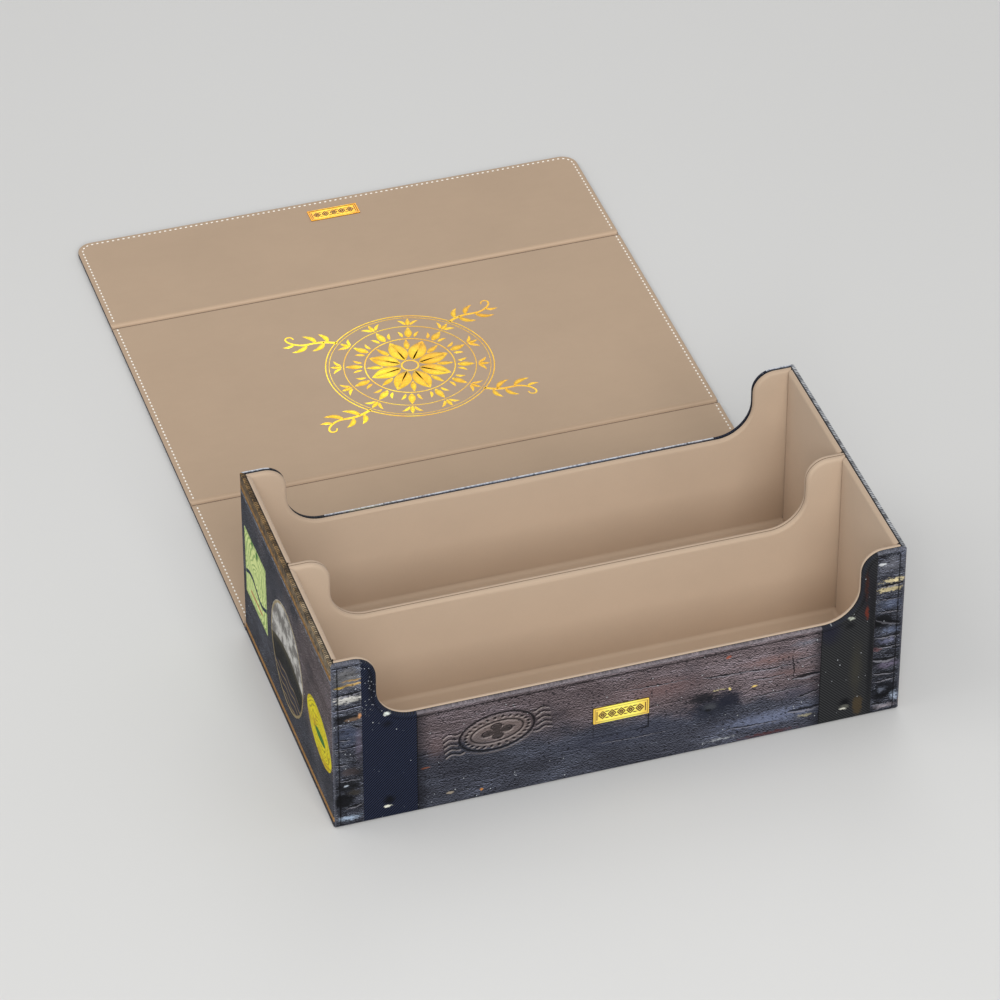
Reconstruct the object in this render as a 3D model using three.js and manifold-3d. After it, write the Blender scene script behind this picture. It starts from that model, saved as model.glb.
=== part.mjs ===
// Trading card storage box: a leather-covered tray with two compartments, and a
// book-style cover that folds up behind it, over the top and down the front.
// Millimetres, +Z up. The origin is the centre of the tray's footprint on the table,
// +X runs along the tray's length and +Y from its front to its back.
// The cover is modelled open, lying flat behind the tray.
import * as THREE from 'three';
import { mergeVertices } from 'three/addons/utils/BufferGeometryUtils.js';
import Module from 'manifold-3d';

const wasm = await Module();
wasm.setup();

// Tray, outside
const trayLength = 282;
const trayDepth = 153;
const trayHeight = 98;

// Scoops in the front wall, the divider and the back wall, each a little shallower
const frontDrop = 40.4;
const dividerDrop = 37.5;
const backDrop = 35.6;
const hornWidth = 22;
const hornRadius = 11;
const scoopRadius = 18;

// Layers of a tray wall, from the outside in
const skin = 0.8;
const wallBoard = 1.6;
const wallLining = 2.4;

// Layers of the divider and of the floor
const dividerThickness = 5;
const dividerBoard = 1.6;
const baseBoard = 2.4;
const floorPad = 1.8;

// Layers of the folding cover: skin below, then board, then lining
const panelBoard = 1.1;
const panelLining = 0.7;
const flapReach = 79;
const flapCornerRadius = 8.5;

// Rounded edges
const rimRound = 0.6;
const liningRound = 1.6;
const seamRound = 0.3;
const floorRound = 1.2;
const panelEdgeRound = 0.6;
const skinRound = 0.4;

// Clasp: a metal plate and a hidden magnet on the tray, and another pair on the flap
const plateLength = 27.6;
const plateHeight = 9.3;
const plateProud = 0.45;
const plateSink = 0.35;
const plateCorner = 0.5;
const plateBevel = 0.25;
const plateToFlapEdge = 13.5;
const magnetLength = 24;
const magnetHeight = 7.5;

// Clearances
const seam = 0.1;
const creasePlay = 0.1;
const closingGap = 0.3;
const plateGap = 0.1;
const footLift = 0.2;
const overrun = 5;

// Steps in each rounded corner, in each rounded edge and round a crease bead
const cornerSteps = 12;
const edgeSteps = 4;
const beadSides = 12;

// Fillets are limited by the walls they round
const hornFillet = Math.min(hornRadius, hornWidth - liningRound);

// Levels of the tray, measured from the table
const baseBoardTop = skin + baseBoard;
const floorTop = baseBoardTop + floorPad;
const rimWidth = skin + wallBoard;
const wallThickness = rimWidth + wallLining;
const scoopEdge = trayLength / 2 - hornWidth;

// The cover folds about the middle of its skin, so the closed spine stays flush
const creaseHeight = skin / 2;
const panelThickness = skin + panelBoard + panelLining;
const panelInside = panelThickness - creaseHeight;
const panelSkinTop = skin - creaseHeight;
const panelBoardTop = panelSkinTop + panelBoard;
const flapStandOff = 2 * plateProud + plateGap;

// Fold lines: each reach is what the closed panel must span, wall to wall
const baseCreaseY = trayDepth / 2 + closingGap + panelInside;
const backReach = trayHeight - creaseHeight + closingGap + panelInside;
const topReach = trayDepth / 2 + baseCreaseY + panelInside + flapStandOff;
const closedFlapCreaseHeight = creaseHeight + backReach;

// The flap's plate keeps its distance from the flap's edge, and the front plate is
// where that one lands when the cover is closed
const flapPlateReach = flapReach - plateToFlapEdge;
const plateCentreHeight = closedFlapCreaseHeight - flapPlateReach;

// Materials

function material(color, roughness, metalness = 0) {
  return new THREE.MeshStandardMaterial({ color, roughness, metalness });
}

const printedLeather = () => material(0x3a3c48, 0.55);
const coverLeather = () => material(0x23252e, 0.6);
const tanLining = () => material(0xb59a80, 0.85);
const greyboard = () => material(0x8b8378, 0.95);
const goldPlate = () => material(0xe0ad3c, 0.25, 1);
const magnetSteel = () => material(0x9a9ca0, 0.35, 1);

// Solids: closed meshes are cut and joined as manifolds

function toManifold(geometry) {
  const bare = geometry.clone();
  bare.deleteAttribute('normal');
  bare.deleteAttribute('uv');
  const merged = mergeVertices(bare);
  return new wasm.Manifold(new wasm.Mesh({
    numProp: 3,
    vertProperties: new Float32Array(merged.attributes.position.array),
    triVerts: new Uint32Array(merged.index.array),
  }));
}

function toGeometry(solid) {
  const mesh = solid.getMesh();
  const geometry = new THREE.BufferGeometry();
  geometry.setAttribute('position', new THREE.Float32BufferAttribute(mesh.vertProperties, 3));
  geometry.setIndex(new THREE.Uint32BufferAttribute(mesh.triVerts, 1));
  geometry.computeVertexNormals();
  return geometry;
}

// A solid through matching outlines, one for each level, flat at both ends.
// outlineAt(inset) gives the outline anticlockwise, drawn in by the inset.
function loft(outlineAt, levels) {
  const rings = levels.map(({ inset }) => outlineAt(inset));
  const count = rings[0].length;
  const positions = rings.flatMap((ring, level) => (
    ring.flatMap((point) => [point.x, point.y, levels[level].height])
  ));
  const indices = [];
  for (let level = 1; level < rings.length; level += 1) {
    const lower = (level - 1) * count;
    const upper = level * count;
    for (let here = 0; here < count; here += 1) {
      const next = (here + 1) % count;
      indices.push(lower + here, lower + next, upper + next);
      indices.push(lower + here, upper + next, upper + here);
    }
  }
  const last = (rings.length - 1) * count;
  THREE.ShapeUtils.triangulateShape(rings[0], []).forEach(([a, b, c]) => indices.push(c, b, a));
  THREE.ShapeUtils.triangulateShape(rings[rings.length - 1], []).forEach(([a, b, c]) => (
    indices.push(last + a, last + b, last + c)
  ));
  const geometry = new THREE.BufferGeometry();
  geometry.setAttribute('position', new THREE.Float32BufferAttribute(positions, 3));
  geometry.setIndex(indices);
  return geometry;
}

// Levels of a rounded lower or upper edge: a quarter circle from face to side
function roundedBottom(height, radius) {
  return Array.from({ length: edgeSteps + 1 }, (_, step) => {
    const angle = (Math.PI / 2) * (step / edgeSteps);
    return { height: height + radius * (1 - Math.cos(angle)), inset: radius * (1 - Math.sin(angle)) };
  });
}

function roundedTop(height, radius) {
  return roundedBottom(0, radius).reverse().map((level) => (
    { height: height - level.height, inset: level.inset }
  ));
}

function arcPoints(x, y, radius, startAngle, endAngle) {
  const clockwise = endAngle < startAngle;
  const arc = new THREE.EllipseCurve(x, y, radius, radius, startAngle, endAngle, clockwise);
  return arc.getPoints(cornerSteps);
}

function rectangleOutline(left, right, front, back) {
  return (inset) => [
    new THREE.Vector2(left + inset, front + inset),
    new THREE.Vector2(right - inset, front + inset),
    new THREE.Vector2(right - inset, back - inset),
    new THREE.Vector2(left + inset, back - inset),
  ];
}

// Outline of a scooped wall: a horn at each end, rounded at its top, and a level
// rim between them that each horn's foot meets in a hollow curve
function scoopedOutline(half, bottom, drop) {
  const scoopRim = trayHeight - drop;
  const scoopFillet = Math.min(scoopRadius, drop - hornFillet);
  return (inset) => {
    const edge = scoopEdge + inset;
    const hornTop = arcPoints(
      edge + hornFillet - inset,
      trayHeight - hornFillet,
      hornFillet - inset,
      Math.PI / 2,
      Math.PI,
    );
    const hornFoot = arcPoints(
      edge - scoopFillet - inset,
      scoopRim + scoopFillet,
      scoopFillet + inset,
      0,
      -Math.PI / 2,
    );
    const rightSide = [
      new THREE.Vector2(half - inset, bottom + inset),
      new THREE.Vector2(half - inset, trayHeight - inset),
      ...hornTop,
      ...hornFoot,
    ];
    const leftSide = rightSide.map((point) => new THREE.Vector2(-point.x, point.y)).reverse();
    return [...rightSide, ...leftSide];
  };
}

function plainOutline(half, bottom) {
  return rectangleOutline(-half, half, bottom, trayHeight);
}

// A wall is drawn lying down, its outside face at height zero and its inside below.
// Standing it up turns that depth into the direction from the outside in.
function standUp(geometry) {
  return geometry.rotateX(Math.PI / 2);
}

// Both ends of a wall are cut along the diagonal of the tray's corner
function mitrePrism(half) {
  const outer = half + overrun - seam / 2;
  const inner = half - wallThickness - overrun - seam / 2;
  const plan = new THREE.Shape([
    new THREE.Vector2(-outer, -overrun),
    new THREE.Vector2(outer, -overrun),
    new THREE.Vector2(inner, wallThickness + overrun),
    new THREE.Vector2(-inner, wallThickness + overrun),
  ]);
  const prism = new THREE.ExtrudeGeometry(plan, {
    depth: trayHeight + 2 * overrun,
    bevelEnabled: false,
  });
  return toManifold(prism.translate(0, 0, -overrun));
}

function plateOutline(margin) {
  const half = plateLength / 2 + margin;
  const high = plateHeight / 2 + margin;
  const radius = plateCorner + margin;
  return (inset) => [
    ...arcPoints(half - radius, high - radius, radius - inset, 0, Math.PI / 2),
    ...arcPoints(radius - half, high - radius, radius - inset, Math.PI / 2, Math.PI),
    ...arcPoints(radius - half, radius - high, radius - inset, Math.PI, 3 * Math.PI / 2),
    ...arcPoints(half - radius, radius - high, radius - inset, 3 * Math.PI / 2, 2 * Math.PI),
  ];
}

// A plate lies on its back: its bevelled face looks up, standing proud of height zero
function plateGeometry() {
  return loft(plateOutline(0), [
    { height: -plateSink, inset: 0 },
    { height: plateProud - plateBevel, inset: 0 },
    { height: plateProud, inset: plateBevel },
  ]);
}

function platePocket() {
  return loft(plateOutline(seam), [
    { height: -plateSink - seam, inset: 0 },
    { height: overrun, inset: 0 },
  ]);
}

// A magnet fills a window cut through its board, and the window has a seam all round
function magnetWindow(thickness) {
  return new THREE.BoxGeometry(
    magnetLength + 2 * seam,
    magnetHeight + 2 * seam,
    thickness + 2 * overrun,
  );
}

function magnetGeometry(thickness) {
  return new THREE.BoxGeometry(magnetLength, magnetHeight, thickness - 2 * seam);
}

// Leather cover of a wall: it lies on the outside and turns over the top of the board
function wallCover(outline, half, bottom, pocket) {
  const outside = toManifold(standUp(loft(outline(half, bottom), [
    { height: -rimWidth, inset: 0 },
    ...roundedTop(0, rimRound),
  ])));
  const boardSpace = toManifold(standUp(loft(outline(half + overrun, -overrun), [
    { height: -rimWidth - overrun, inset: skin },
    { height: -skin, inset: skin },
  ])));
  const cover = outside.subtract(boardSpace).intersect(mitrePrism(half));
  return toGeometry(pocket ? cover.subtract(pocket) : cover);
}

// Board of a wall: it stands on the base board, inside the cover's turned-over rim
function wallBoardSolid(outline, half, window) {
  const inset = skin + seam;
  const board = toManifold(standUp(loft(outline(half + overrun, baseBoardTop - inset), [
    { height: -rimWidth, inset },
    { height: -inset, inset },
  ]))).intersect(mitrePrism(half));
  return toGeometry(window ? board.subtract(window) : board);
}

// Lining panel of a long wall, rounded where it faces the compartment
function longLiningLevels(thickness) {
  return [
    ...roundedBottom(-thickness, liningRound),
    ...roundedTop(0, seamRound),
  ];
}

function longLiningOutline(drop) {
  return scoopedOutline(trayLength / 2 - rimWidth - seam, baseBoardTop, drop);
}

function addPiece(parent, name, geometry, pieceMaterial) {
  const mesh = new THREE.Mesh(geometry, pieceMaterial);
  mesh.name = name;
  parent.add(mesh);
  return mesh;
}

// One wall in its own frame: x along the wall, y from its outside face in, z up
function buildWall(tray, side) {
  const wall = new THREE.Group();
  wall.position.set(side.x, side.y, 0);
  wall.rotation.z = side.turn;
  tray.add(wall);
  const cover = wallCover(side.outline, side.half, side.bottom, side.pocket);
  addPiece(wall, `${side.name}_cover`, cover, printedLeather());
  addPiece(wall, `${side.name}_board`, wallBoardSolid(side.outline, side.half, side.window), greyboard());
  return wall;
}

function addLongLining(wall, name, drop) {
  const lining = standUp(loft(longLiningOutline(drop), longLiningLevels(wallLining - seam)));
  addPiece(wall, name, lining, tanLining()).position.y = rimWidth + seam;
}

// Front wall, with the clasp plate let into its cover and a magnet in its board
function buildFrontWall(tray) {
  const place = (geometry) => standUp(geometry).translate(0, 0, plateCentreHeight);
  const wall = buildWall(tray, {
    name: 'front',
    x: 0,
    y: -trayDepth / 2,
    turn: 0,
    half: trayLength / 2,
    bottom: footLift,
    outline: (half, bottom) => scoopedOutline(half, bottom, frontDrop),
    pocket: toManifold(place(platePocket())),
    window: toManifold(place(magnetWindow(wallBoard))),
  });
  addLongLining(wall, 'front_lining', frontDrop);
  addPiece(wall, 'front_clasp_plate', place(plateGeometry()), goldPlate());
  const magnet = addPiece(wall, 'front_magnet', place(magnetGeometry(wallBoard)), magnetSteel());
  magnet.position.y = skin + wallBoard / 2;
}

// Back wall: its cover stands on the base skin, which runs on to the first crease
function buildBackWall(tray) {
  const wall = buildWall(tray, {
    name: 'back',
    x: 0,
    y: trayDepth / 2,
    turn: Math.PI,
    half: trayLength / 2,
    bottom: skin + seam,
    outline: (half, bottom) => scoopedOutline(half, bottom, backDrop),
  });
  addLongLining(wall, 'back_lining', backDrop);
}

function buildEndWalls(tray) {
  for (const [name, sign] of [['left', -1], ['right', 1]]) {
    buildWall(tray, {
      name,
      x: sign * trayLength / 2,
      y: 0,
      turn: sign * Math.PI / 2,
      half: trayDepth / 2,
      bottom: footLift,
      outline: plainOutline,
    });
  }
}

// Spaces between the long linings: one compartment in front of the divider, one behind
function compartments() {
  const wallFace = trayDepth / 2 - wallThickness;
  const dividerFace = dividerThickness / 2;
  return [
    { name: 'front', front: -wallFace, back: -dividerFace },
    { name: 'rear', front: dividerFace, back: wallFace },
  ];
}

// Linings of the end walls, a separate panel in each compartment
function buildEndLinings(tray) {
  for (const [sideName, sign] of [['left', -1], ['right', 1]]) {
    for (const compartment of compartments()) {
      const half = (compartment.back - compartment.front) / 2 - seam;
      const panel = standUp(loft(
        rectangleOutline(-half, half, baseBoardTop, trayHeight),
        longLiningLevels(wallLining - seam),
      ));
      const mesh = addPiece(tray, `${sideName}_${compartment.name}_end_lining`, panel, tanLining());
      mesh.rotation.z = sign * Math.PI / 2;
      mesh.position.x = sign * (trayLength / 2 - rimWidth - seam);
      mesh.position.y = (compartment.front + compartment.back) / 2;
    }
  }
}

// Divider: a board between two lining panels that meet along its top
function buildDivider(tray) {
  const faceDepth = dividerThickness / 2 - seam / 2;
  const boardInset = wallLining;
  const half = trayLength / 2 - rimWidth - seam;
  const boardLevels = (reach, inset) => [
    { height: -reach, inset },
    { height: reach, inset },
  ];
  const boardOutline = scoopedOutline(half + boardInset, baseBoardTop - boardInset, dividerDrop);
  const board = standUp(loft(boardOutline, boardLevels(dividerBoard / 2, boardInset)));
  const slot = toManifold(standUp(loft(
    scoopedOutline(half + overrun, -overrun, dividerDrop),
    boardLevels(dividerBoard / 2 + seam, boardInset - seam),
  )));
  addPiece(tray, 'divider_board', board, greyboard());
  for (const [name, turn] of [['divider_front_lining', Math.PI], ['divider_rear_lining', 0]]) {
    const panel = standUp(loft(longLiningOutline(dividerDrop), longLiningLevels(faceDepth)));
    panel.translate(0, seam / 2, 0);
    const mesh = addPiece(tray, name, toGeometry(toManifold(panel).subtract(slot)), tanLining());
    mesh.rotation.z = turn;
  }
}

// Base: a skin that runs on behind the back wall to the crease, a board and two pads
function buildBase(tray) {
  const inX = trayLength / 2 - skin - seam;
  const inY = trayDepth / 2 - skin - seam;
  const sheet = new THREE.Shape([
    new THREE.Vector2(-inX, -inY),
    new THREE.Vector2(inX, -inY),
    new THREE.Vector2(inX, trayDepth / 2 + seam),
    new THREE.Vector2(trayLength / 2, trayDepth / 2 + seam),
    new THREE.Vector2(trayLength / 2, baseCreaseY - creaseHeight - creasePlay),
    new THREE.Vector2(-trayLength / 2, baseCreaseY - creaseHeight - creasePlay),
    new THREE.Vector2(-trayLength / 2, trayDepth / 2 + seam),
    new THREE.Vector2(-inX, trayDepth / 2 + seam),
  ]);
  const skinSheet = new THREE.ExtrudeGeometry(sheet, { depth: skin, bevelEnabled: false });
  addPiece(tray, 'base_cover', skinSheet, coverLeather());
  const board = new THREE.BoxGeometry(2 * inX, 2 * inY, baseBoard);
  addPiece(tray, 'base_board', board, greyboard()).position.z = skin + baseBoard / 2;
  const padHalf = trayLength / 2 - wallThickness - seam;
  for (const { name, front, back } of compartments()) {
    const pad = loft(rectangleOutline(-padHalf, padHalf, front + seam, back - seam), [
      { height: baseBoardTop, inset: 0 },
      ...roundedTop(floorTop, floorRound),
    ]);
    addPiece(tray, `${name}_floor_pad`, pad, tanLining());
  }
}

// Cover panels. Each lies in its own frame: y runs from its crease to the next one
// or to its free edge, and z is measured from the crease, in the middle of the skin.

function panelOutline(reach, isFlap) {
  const half = trayLength / 2;
  if (!isFlap) {
    return (inset) => [
      new THREE.Vector2(inset - half, 0),
      new THREE.Vector2(half - inset, 0),
      new THREE.Vector2(half - inset, reach),
      new THREE.Vector2(inset - half, reach),
    ];
  }
  return (inset) => [
    new THREE.Vector2(inset - half, 0),
    new THREE.Vector2(half - inset, 0),
    ...arcPoints(
      half - flapCornerRadius,
      reach - flapCornerRadius,
      flapCornerRadius - inset,
      0,
      Math.PI / 2,
    ),
    ...arcPoints(
      flapCornerRadius - half,
      reach - flapCornerRadius,
      flapCornerRadius - inset,
      Math.PI / 2,
      Math.PI,
    ),
  ];
}

// V-groove along a crease: narrow through the skin, then opening at 45 degrees, so
// that two panels at a right angle meet in a mitre. widen sets its slopes apart.
function creaseGroove(y, widen) {
  const foot = creaseHeight + creasePlay + widen;
  const mouth = foot + panelInside - panelSkinTop + overrun;
  const section = new THREE.Shape([
    new THREE.Vector2(y - foot, -creaseHeight - overrun),
    new THREE.Vector2(y + foot, -creaseHeight - overrun),
    new THREE.Vector2(y + foot, panelSkinTop),
    new THREE.Vector2(y + mouth, panelInside + overrun),
    new THREE.Vector2(y - mouth, panelInside + overrun),
    new THREE.Vector2(y - foot, panelSkinTop),
  ]);
  const length = trayLength + 2 * overrun;
  const groove = new THREE.ExtrudeGeometry(section, { depth: length, bevelEnabled: false });
  groove.rotateX(Math.PI / 2).rotateZ(Math.PI / 2).translate(-length / 2, 0, 0);
  return toManifold(groove);
}

function panelGrooves(reach, isFlap, widen) {
  const first = creaseGroove(0, widen);
  return isFlap ? first : first.add(creaseGroove(reach, widen));
}

// Leather of a panel: it turns up round the board at the free edges
function panelCover(reach, isFlap) {
  const outline = panelOutline(reach, isFlap);
  const outside = toManifold(loft(outline, [
    ...roundedBottom(-creaseHeight, skinRound),
    { height: panelBoardTop, inset: 0 },
  ]));
  const boardSpace = toManifold(loft(outline, [
    { height: panelSkinTop, inset: skin },
    { height: panelBoardTop + overrun, inset: skin },
  ]));
  return outside.subtract(boardSpace).subtract(panelGrooves(reach, isFlap, 0));
}

// What lies inside the turned-up leather: the board, and the lining's fold beside it
function panelCore(reach, isFlap) {
  return toManifold(loft(panelOutline(reach, isFlap), [
    { height: panelSkinTop, inset: skin + seam },
    { height: panelBoardTop, inset: skin + seam },
  ]));
}

// Lining of a panel: it covers the board and folds down the slope of each crease
function panelLiningSolid(reach, isFlap) {
  const fold = panelLining * Math.SQRT2;
  const sheet = toManifold(loft(panelOutline(reach, isFlap), [
    { height: panelBoardTop, inset: 0 },
    ...roundedTop(panelInside, panelEdgeRound),
  ]));
  const folds = panelCore(reach, isFlap).intersect(panelGrooves(reach, isFlap, fold));
  return sheet.add(folds).subtract(panelGrooves(reach, isFlap, 0));
}

function panelBoardSolid(reach, isFlap) {
  const fold = panelLining * Math.SQRT2 + seam;
  return panelCore(reach, isFlap).subtract(panelGrooves(reach, isFlap, fold));
}

// The crease itself: a bead of leather on the fold line, as thick as the skin
function creaseBead() {
  const bead = new THREE.CylinderGeometry(creaseHeight, creaseHeight, trayLength, beadSides);
  return bead.rotateZ(Math.PI / 2);
}

function buildPanel(parent, name, bead, axisY, axisZ, reach) {
  const panel = new THREE.Group();
  panel.position.set(0, axisY, axisZ);
  parent.add(panel);
  addPiece(panel, bead, creaseBead(), coverLeather());
  addPiece(panel, `${name}_cover`, toGeometry(panelCover(reach, false)), coverLeather());
  addPiece(panel, `${name}_board`, toGeometry(panelBoardSolid(reach, false)), greyboard());
  addPiece(panel, `${name}_lining`, toGeometry(panelLiningSolid(reach, false)), tanLining());
  return panel;
}

// Flap, with its clasp plate let into the lining and a magnet in its board
function buildFlap(parent) {
  const flap = new THREE.Group();
  flap.position.set(0, topReach, 0);
  parent.add(flap);
  const boardMiddle = panelSkinTop + panelBoard / 2;
  const pocket = toManifold(platePocket().translate(0, flapPlateReach, panelInside));
  const window = toManifold(magnetWindow(panelBoard).translate(0, flapPlateReach, boardMiddle));
  const lining = panelLiningSolid(flapReach, true).subtract(pocket);
  const board = panelBoardSolid(flapReach, true).subtract(window);
  addPiece(flap, 'top_flap_crease', creaseBead(), coverLeather());
  addPiece(flap, 'flap_cover', toGeometry(panelCover(flapReach, true)), coverLeather());
  addPiece(flap, 'flap_board', toGeometry(board), greyboard());
  addPiece(flap, 'flap_lining', toGeometry(lining), tanLining());
  const plate = addPiece(flap, 'flap_clasp_plate', plateGeometry(), goldPlate());
  plate.position.set(0, flapPlateReach, panelInside);
  const magnet = addPiece(flap, 'flap_magnet', magnetGeometry(panelBoard), magnetSteel());
  magnet.position.set(0, flapPlateReach, boardMiddle);
}

function buildBox() {
  const box = new THREE.Group();
  const tray = new THREE.Group();
  box.add(tray);
  buildBase(tray);
  buildFrontWall(tray);
  buildBackWall(tray);
  buildEndWalls(tray);
  buildEndLinings(tray);
  buildDivider(tray);
  const back = buildPanel(box, 'back_panel', 'base_back_crease', baseCreaseY, creaseHeight, backReach);
  const top = buildPanel(back, 'top_panel', 'back_top_crease', backReach, 0, topReach);
  buildFlap(top);
  return box;
}

export default buildBox();
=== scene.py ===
# %% [markdown]
# # A trading card storage box
# The real object is a tray with two card compartments and a wraparound cover that lies
# open behind it. The tray is board wrapped in printed leather and lined with tan
# microfibre, and the cover is leather, board and lining, folded along three creases.
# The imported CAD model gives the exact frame. This script lays the visible skins over it:
# each one is a surface worked out with numpy, in the same place as the solid it covers.

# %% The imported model
import math

import bmesh
import bpy
import numpy as np
from mathutils import Matrix, Vector


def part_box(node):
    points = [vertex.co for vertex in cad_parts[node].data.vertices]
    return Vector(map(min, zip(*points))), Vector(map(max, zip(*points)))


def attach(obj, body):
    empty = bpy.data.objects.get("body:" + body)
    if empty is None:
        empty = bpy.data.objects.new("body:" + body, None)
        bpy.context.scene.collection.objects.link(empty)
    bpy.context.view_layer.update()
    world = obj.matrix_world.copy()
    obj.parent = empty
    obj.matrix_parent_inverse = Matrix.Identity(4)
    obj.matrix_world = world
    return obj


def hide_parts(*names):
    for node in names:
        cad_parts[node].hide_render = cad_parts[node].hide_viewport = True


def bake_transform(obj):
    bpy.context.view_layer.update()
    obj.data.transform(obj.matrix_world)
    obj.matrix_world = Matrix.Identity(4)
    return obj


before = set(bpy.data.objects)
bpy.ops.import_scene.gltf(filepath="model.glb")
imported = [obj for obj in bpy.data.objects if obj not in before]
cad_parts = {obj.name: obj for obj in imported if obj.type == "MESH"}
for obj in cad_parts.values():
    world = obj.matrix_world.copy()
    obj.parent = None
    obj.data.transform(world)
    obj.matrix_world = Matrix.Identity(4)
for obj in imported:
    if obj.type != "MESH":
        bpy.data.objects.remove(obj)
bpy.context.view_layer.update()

# %% [markdown]
# The camera stands where the photograph was taken from. Its place, its lens and its
# small roll were found from the straight edges of the box, so a corner of the model falls
# on the same corner of the picture. It is made first, because everything that follows is
# judged through it.

# %% Camera
def new_object(name, data):
    """An object that holds this data, linked to the scene."""
    made = bpy.data.objects.new(name, data)
    bpy.context.scene.collection.objects.link(made)
    return made


AZIMUTH, ELEVATION, ROLL = (math.radians(a) for a in (17.769, 37.93, -0.155))
ahead = Vector((
    math.sin(AZIMUTH) * math.cos(ELEVATION),
    math.cos(AZIMUTH) * math.cos(ELEVATION),
    -math.sin(ELEVATION),
))
level_right = Vector((math.cos(AZIMUTH), -math.sin(AZIMUTH), 0.0))
level_up = level_right.cross(ahead)
right = math.cos(ROLL) * level_right + math.sin(ROLL) * level_up
up = math.cos(ROLL) * level_up - math.sin(ROLL) * level_right
camera = new_object("camera", bpy.data.cameras.new("camera"))
camera.matrix_world = (
    Matrix.Translation((-0.62038, -1.82715, 1.60735))
    @ Matrix((right, up, -ahead)).transposed().to_4x4()
)
camera.data.lens = 186.57
camera.data.sensor_width = 36.0
camera.data.clip_end = 50.0
bpy.context.scene.camera = camera
print("camera", [round(v, 3) for v in camera.matrix_world.translation])

# %% [markdown]
# All shapes are worked out in millimetres, as they are on the bench, and scaled to
# metres when a mesh is made. The sizes repeat the CAD model's own, but for the front's rim,
# which stands 2 mm higher in its scoop, as measured in the photograph.

# %% Sizes in millimetres
HALF_LENGTH, HALF_DEPTH, HEIGHT = 141.0, 76.5, 98.0
SCOOP_EDGE, HORN_ROUND, SCOOP_ROUND = 119.0, 11.0, 18.0
FRONT_RIM, DIVIDER_RIM, BACK_RIM = 59.6, 60.5, 62.4
RIM_WIDTH, RIM_ROUND, RIM_DRAWN, CORNER_ROUND = 2.4, 0.8, 5.0, 1.2
LINING_BACK, LINING, DIVIDER_LINING, LINING_FOOT = 2.5, 2.3, 2.45, 3.6
LINING_ROUND, LINING_SEAM, LINING_DRAWN = 1.6, 0.3, 3.4
INNER_HALF = HALF_LENGTH - LINING_BACK
BAY_HALF, BAY_MIDDLE = 34.5, 37.1
PAD_TOP, PAD_HALF, PAD_NEAR, PAD_FAR, PAD_ROUND = 5.0, 136.1, 2.6, 71.6, 2.4
FOLDS = (79.0, 179.1, 337.8)
FLAP_END, FLAP_ROUND = 416.8, 8.5
SKIN_TOP, LID_TOP = 0.8, 2.6
PLATE_HALF, PLATE_RISE, PLATE_ON_FRONT, PLATE_ON_FLAP = 13.8, 4.65, 35.0, 403.3
ORNAMENT_X, ORNAMENT_Z = -61.0, 38.5
MEDALLION = (-1.5, 257.0)
SEAM_INSET, STITCH_PITCH, STITCH_LENGTH = 2.4, 2.9, 1.8
low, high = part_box("front_cover")
print("front wall", round(high.x - low.x, 4), "m long and", round(high.z, 4), "m high")

# %% [markdown]
# A surface here is a grid of points, a whole array at once. `patch` keeps a grid with
# what is known about each point, and `make_piece` turns patches into one mesh: it joins
# them, points every face away from the inside, welds the seams and stores the marks as
# attributes that the materials read.

# %% Making meshes from grids
def patch(points, closed=False, **marks):
    """One grid of points (rows, columns, 3), closed if its last column meets its first."""
    return {"points": points, "closed": closed, "marks": marks}


def cells(rows, columns, closed):
    """Corner numbers of each four-sided cell of a grid, row by row."""
    index = np.arange(rows * columns).reshape(rows, columns)
    if closed:
        index = np.concatenate([index, index[:, :1]], axis=1)
    corners = [index[:-1, :-1], index[:-1, 1:], index[1:, 1:], index[1:, :-1]]
    return np.stack(corners, axis=-1).reshape(-1, 4)


def turned_out(points, faces, inside):
    """The faces with their corners in the order that makes them look away from inside."""
    corner = points[faces]
    normal = np.cross(corner[:, 2] - corner[:, 0], corner[:, 3] - corner[:, 1])
    away = corner.mean(axis=1) - np.asarray(inside, float)
    return faces if (normal * away).sum() >= 0 else faces[:, ::-1]


def make_mesh(name, points, faces, marks, weld=True):
    """A smooth mesh in metres, its doubled points welded, with one attribute per mark."""
    mesh = bpy.data.meshes.new(name)
    mesh.from_pydata((points * 0.001).tolist(), [], faces.tolist())
    for mark, values in marks.items():
        kind, field = ("FLOAT_VECTOR", "vector") if values.ndim == 2 else ("FLOAT", "value")
        attribute = mesh.attributes.new(mark, kind, "POINT")
        attribute.data.foreach_set(field, values.astype(np.float32).ravel())
    if weld:
        work = bmesh.new()
        work.from_mesh(mesh)
        bmesh.ops.remove_doubles(work, verts=work.verts, dist=2e-6)
        bmesh.ops.dissolve_degenerate(work, dist=1e-7, edges=work.edges)
        work.to_mesh(mesh)
        work.free()
    mesh.shade_smooth()
    mesh.set_sharp_from_angle(angle=math.radians(50))
    mesh.update()
    return mesh


def place_piece(mesh, body, finish, replaces=()):
    """An object of a mesh, riding on a body and standing for the CAD nodes named."""
    piece = new_object(mesh.name, mesh)
    mesh.materials.append(finish)
    if body:
        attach(piece, body)
    if replaces:
        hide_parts(*replaces)
    print(f"{mesh.name}: {len(mesh.vertices)} points, {len(mesh.polygons)} faces")
    return piece


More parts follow.
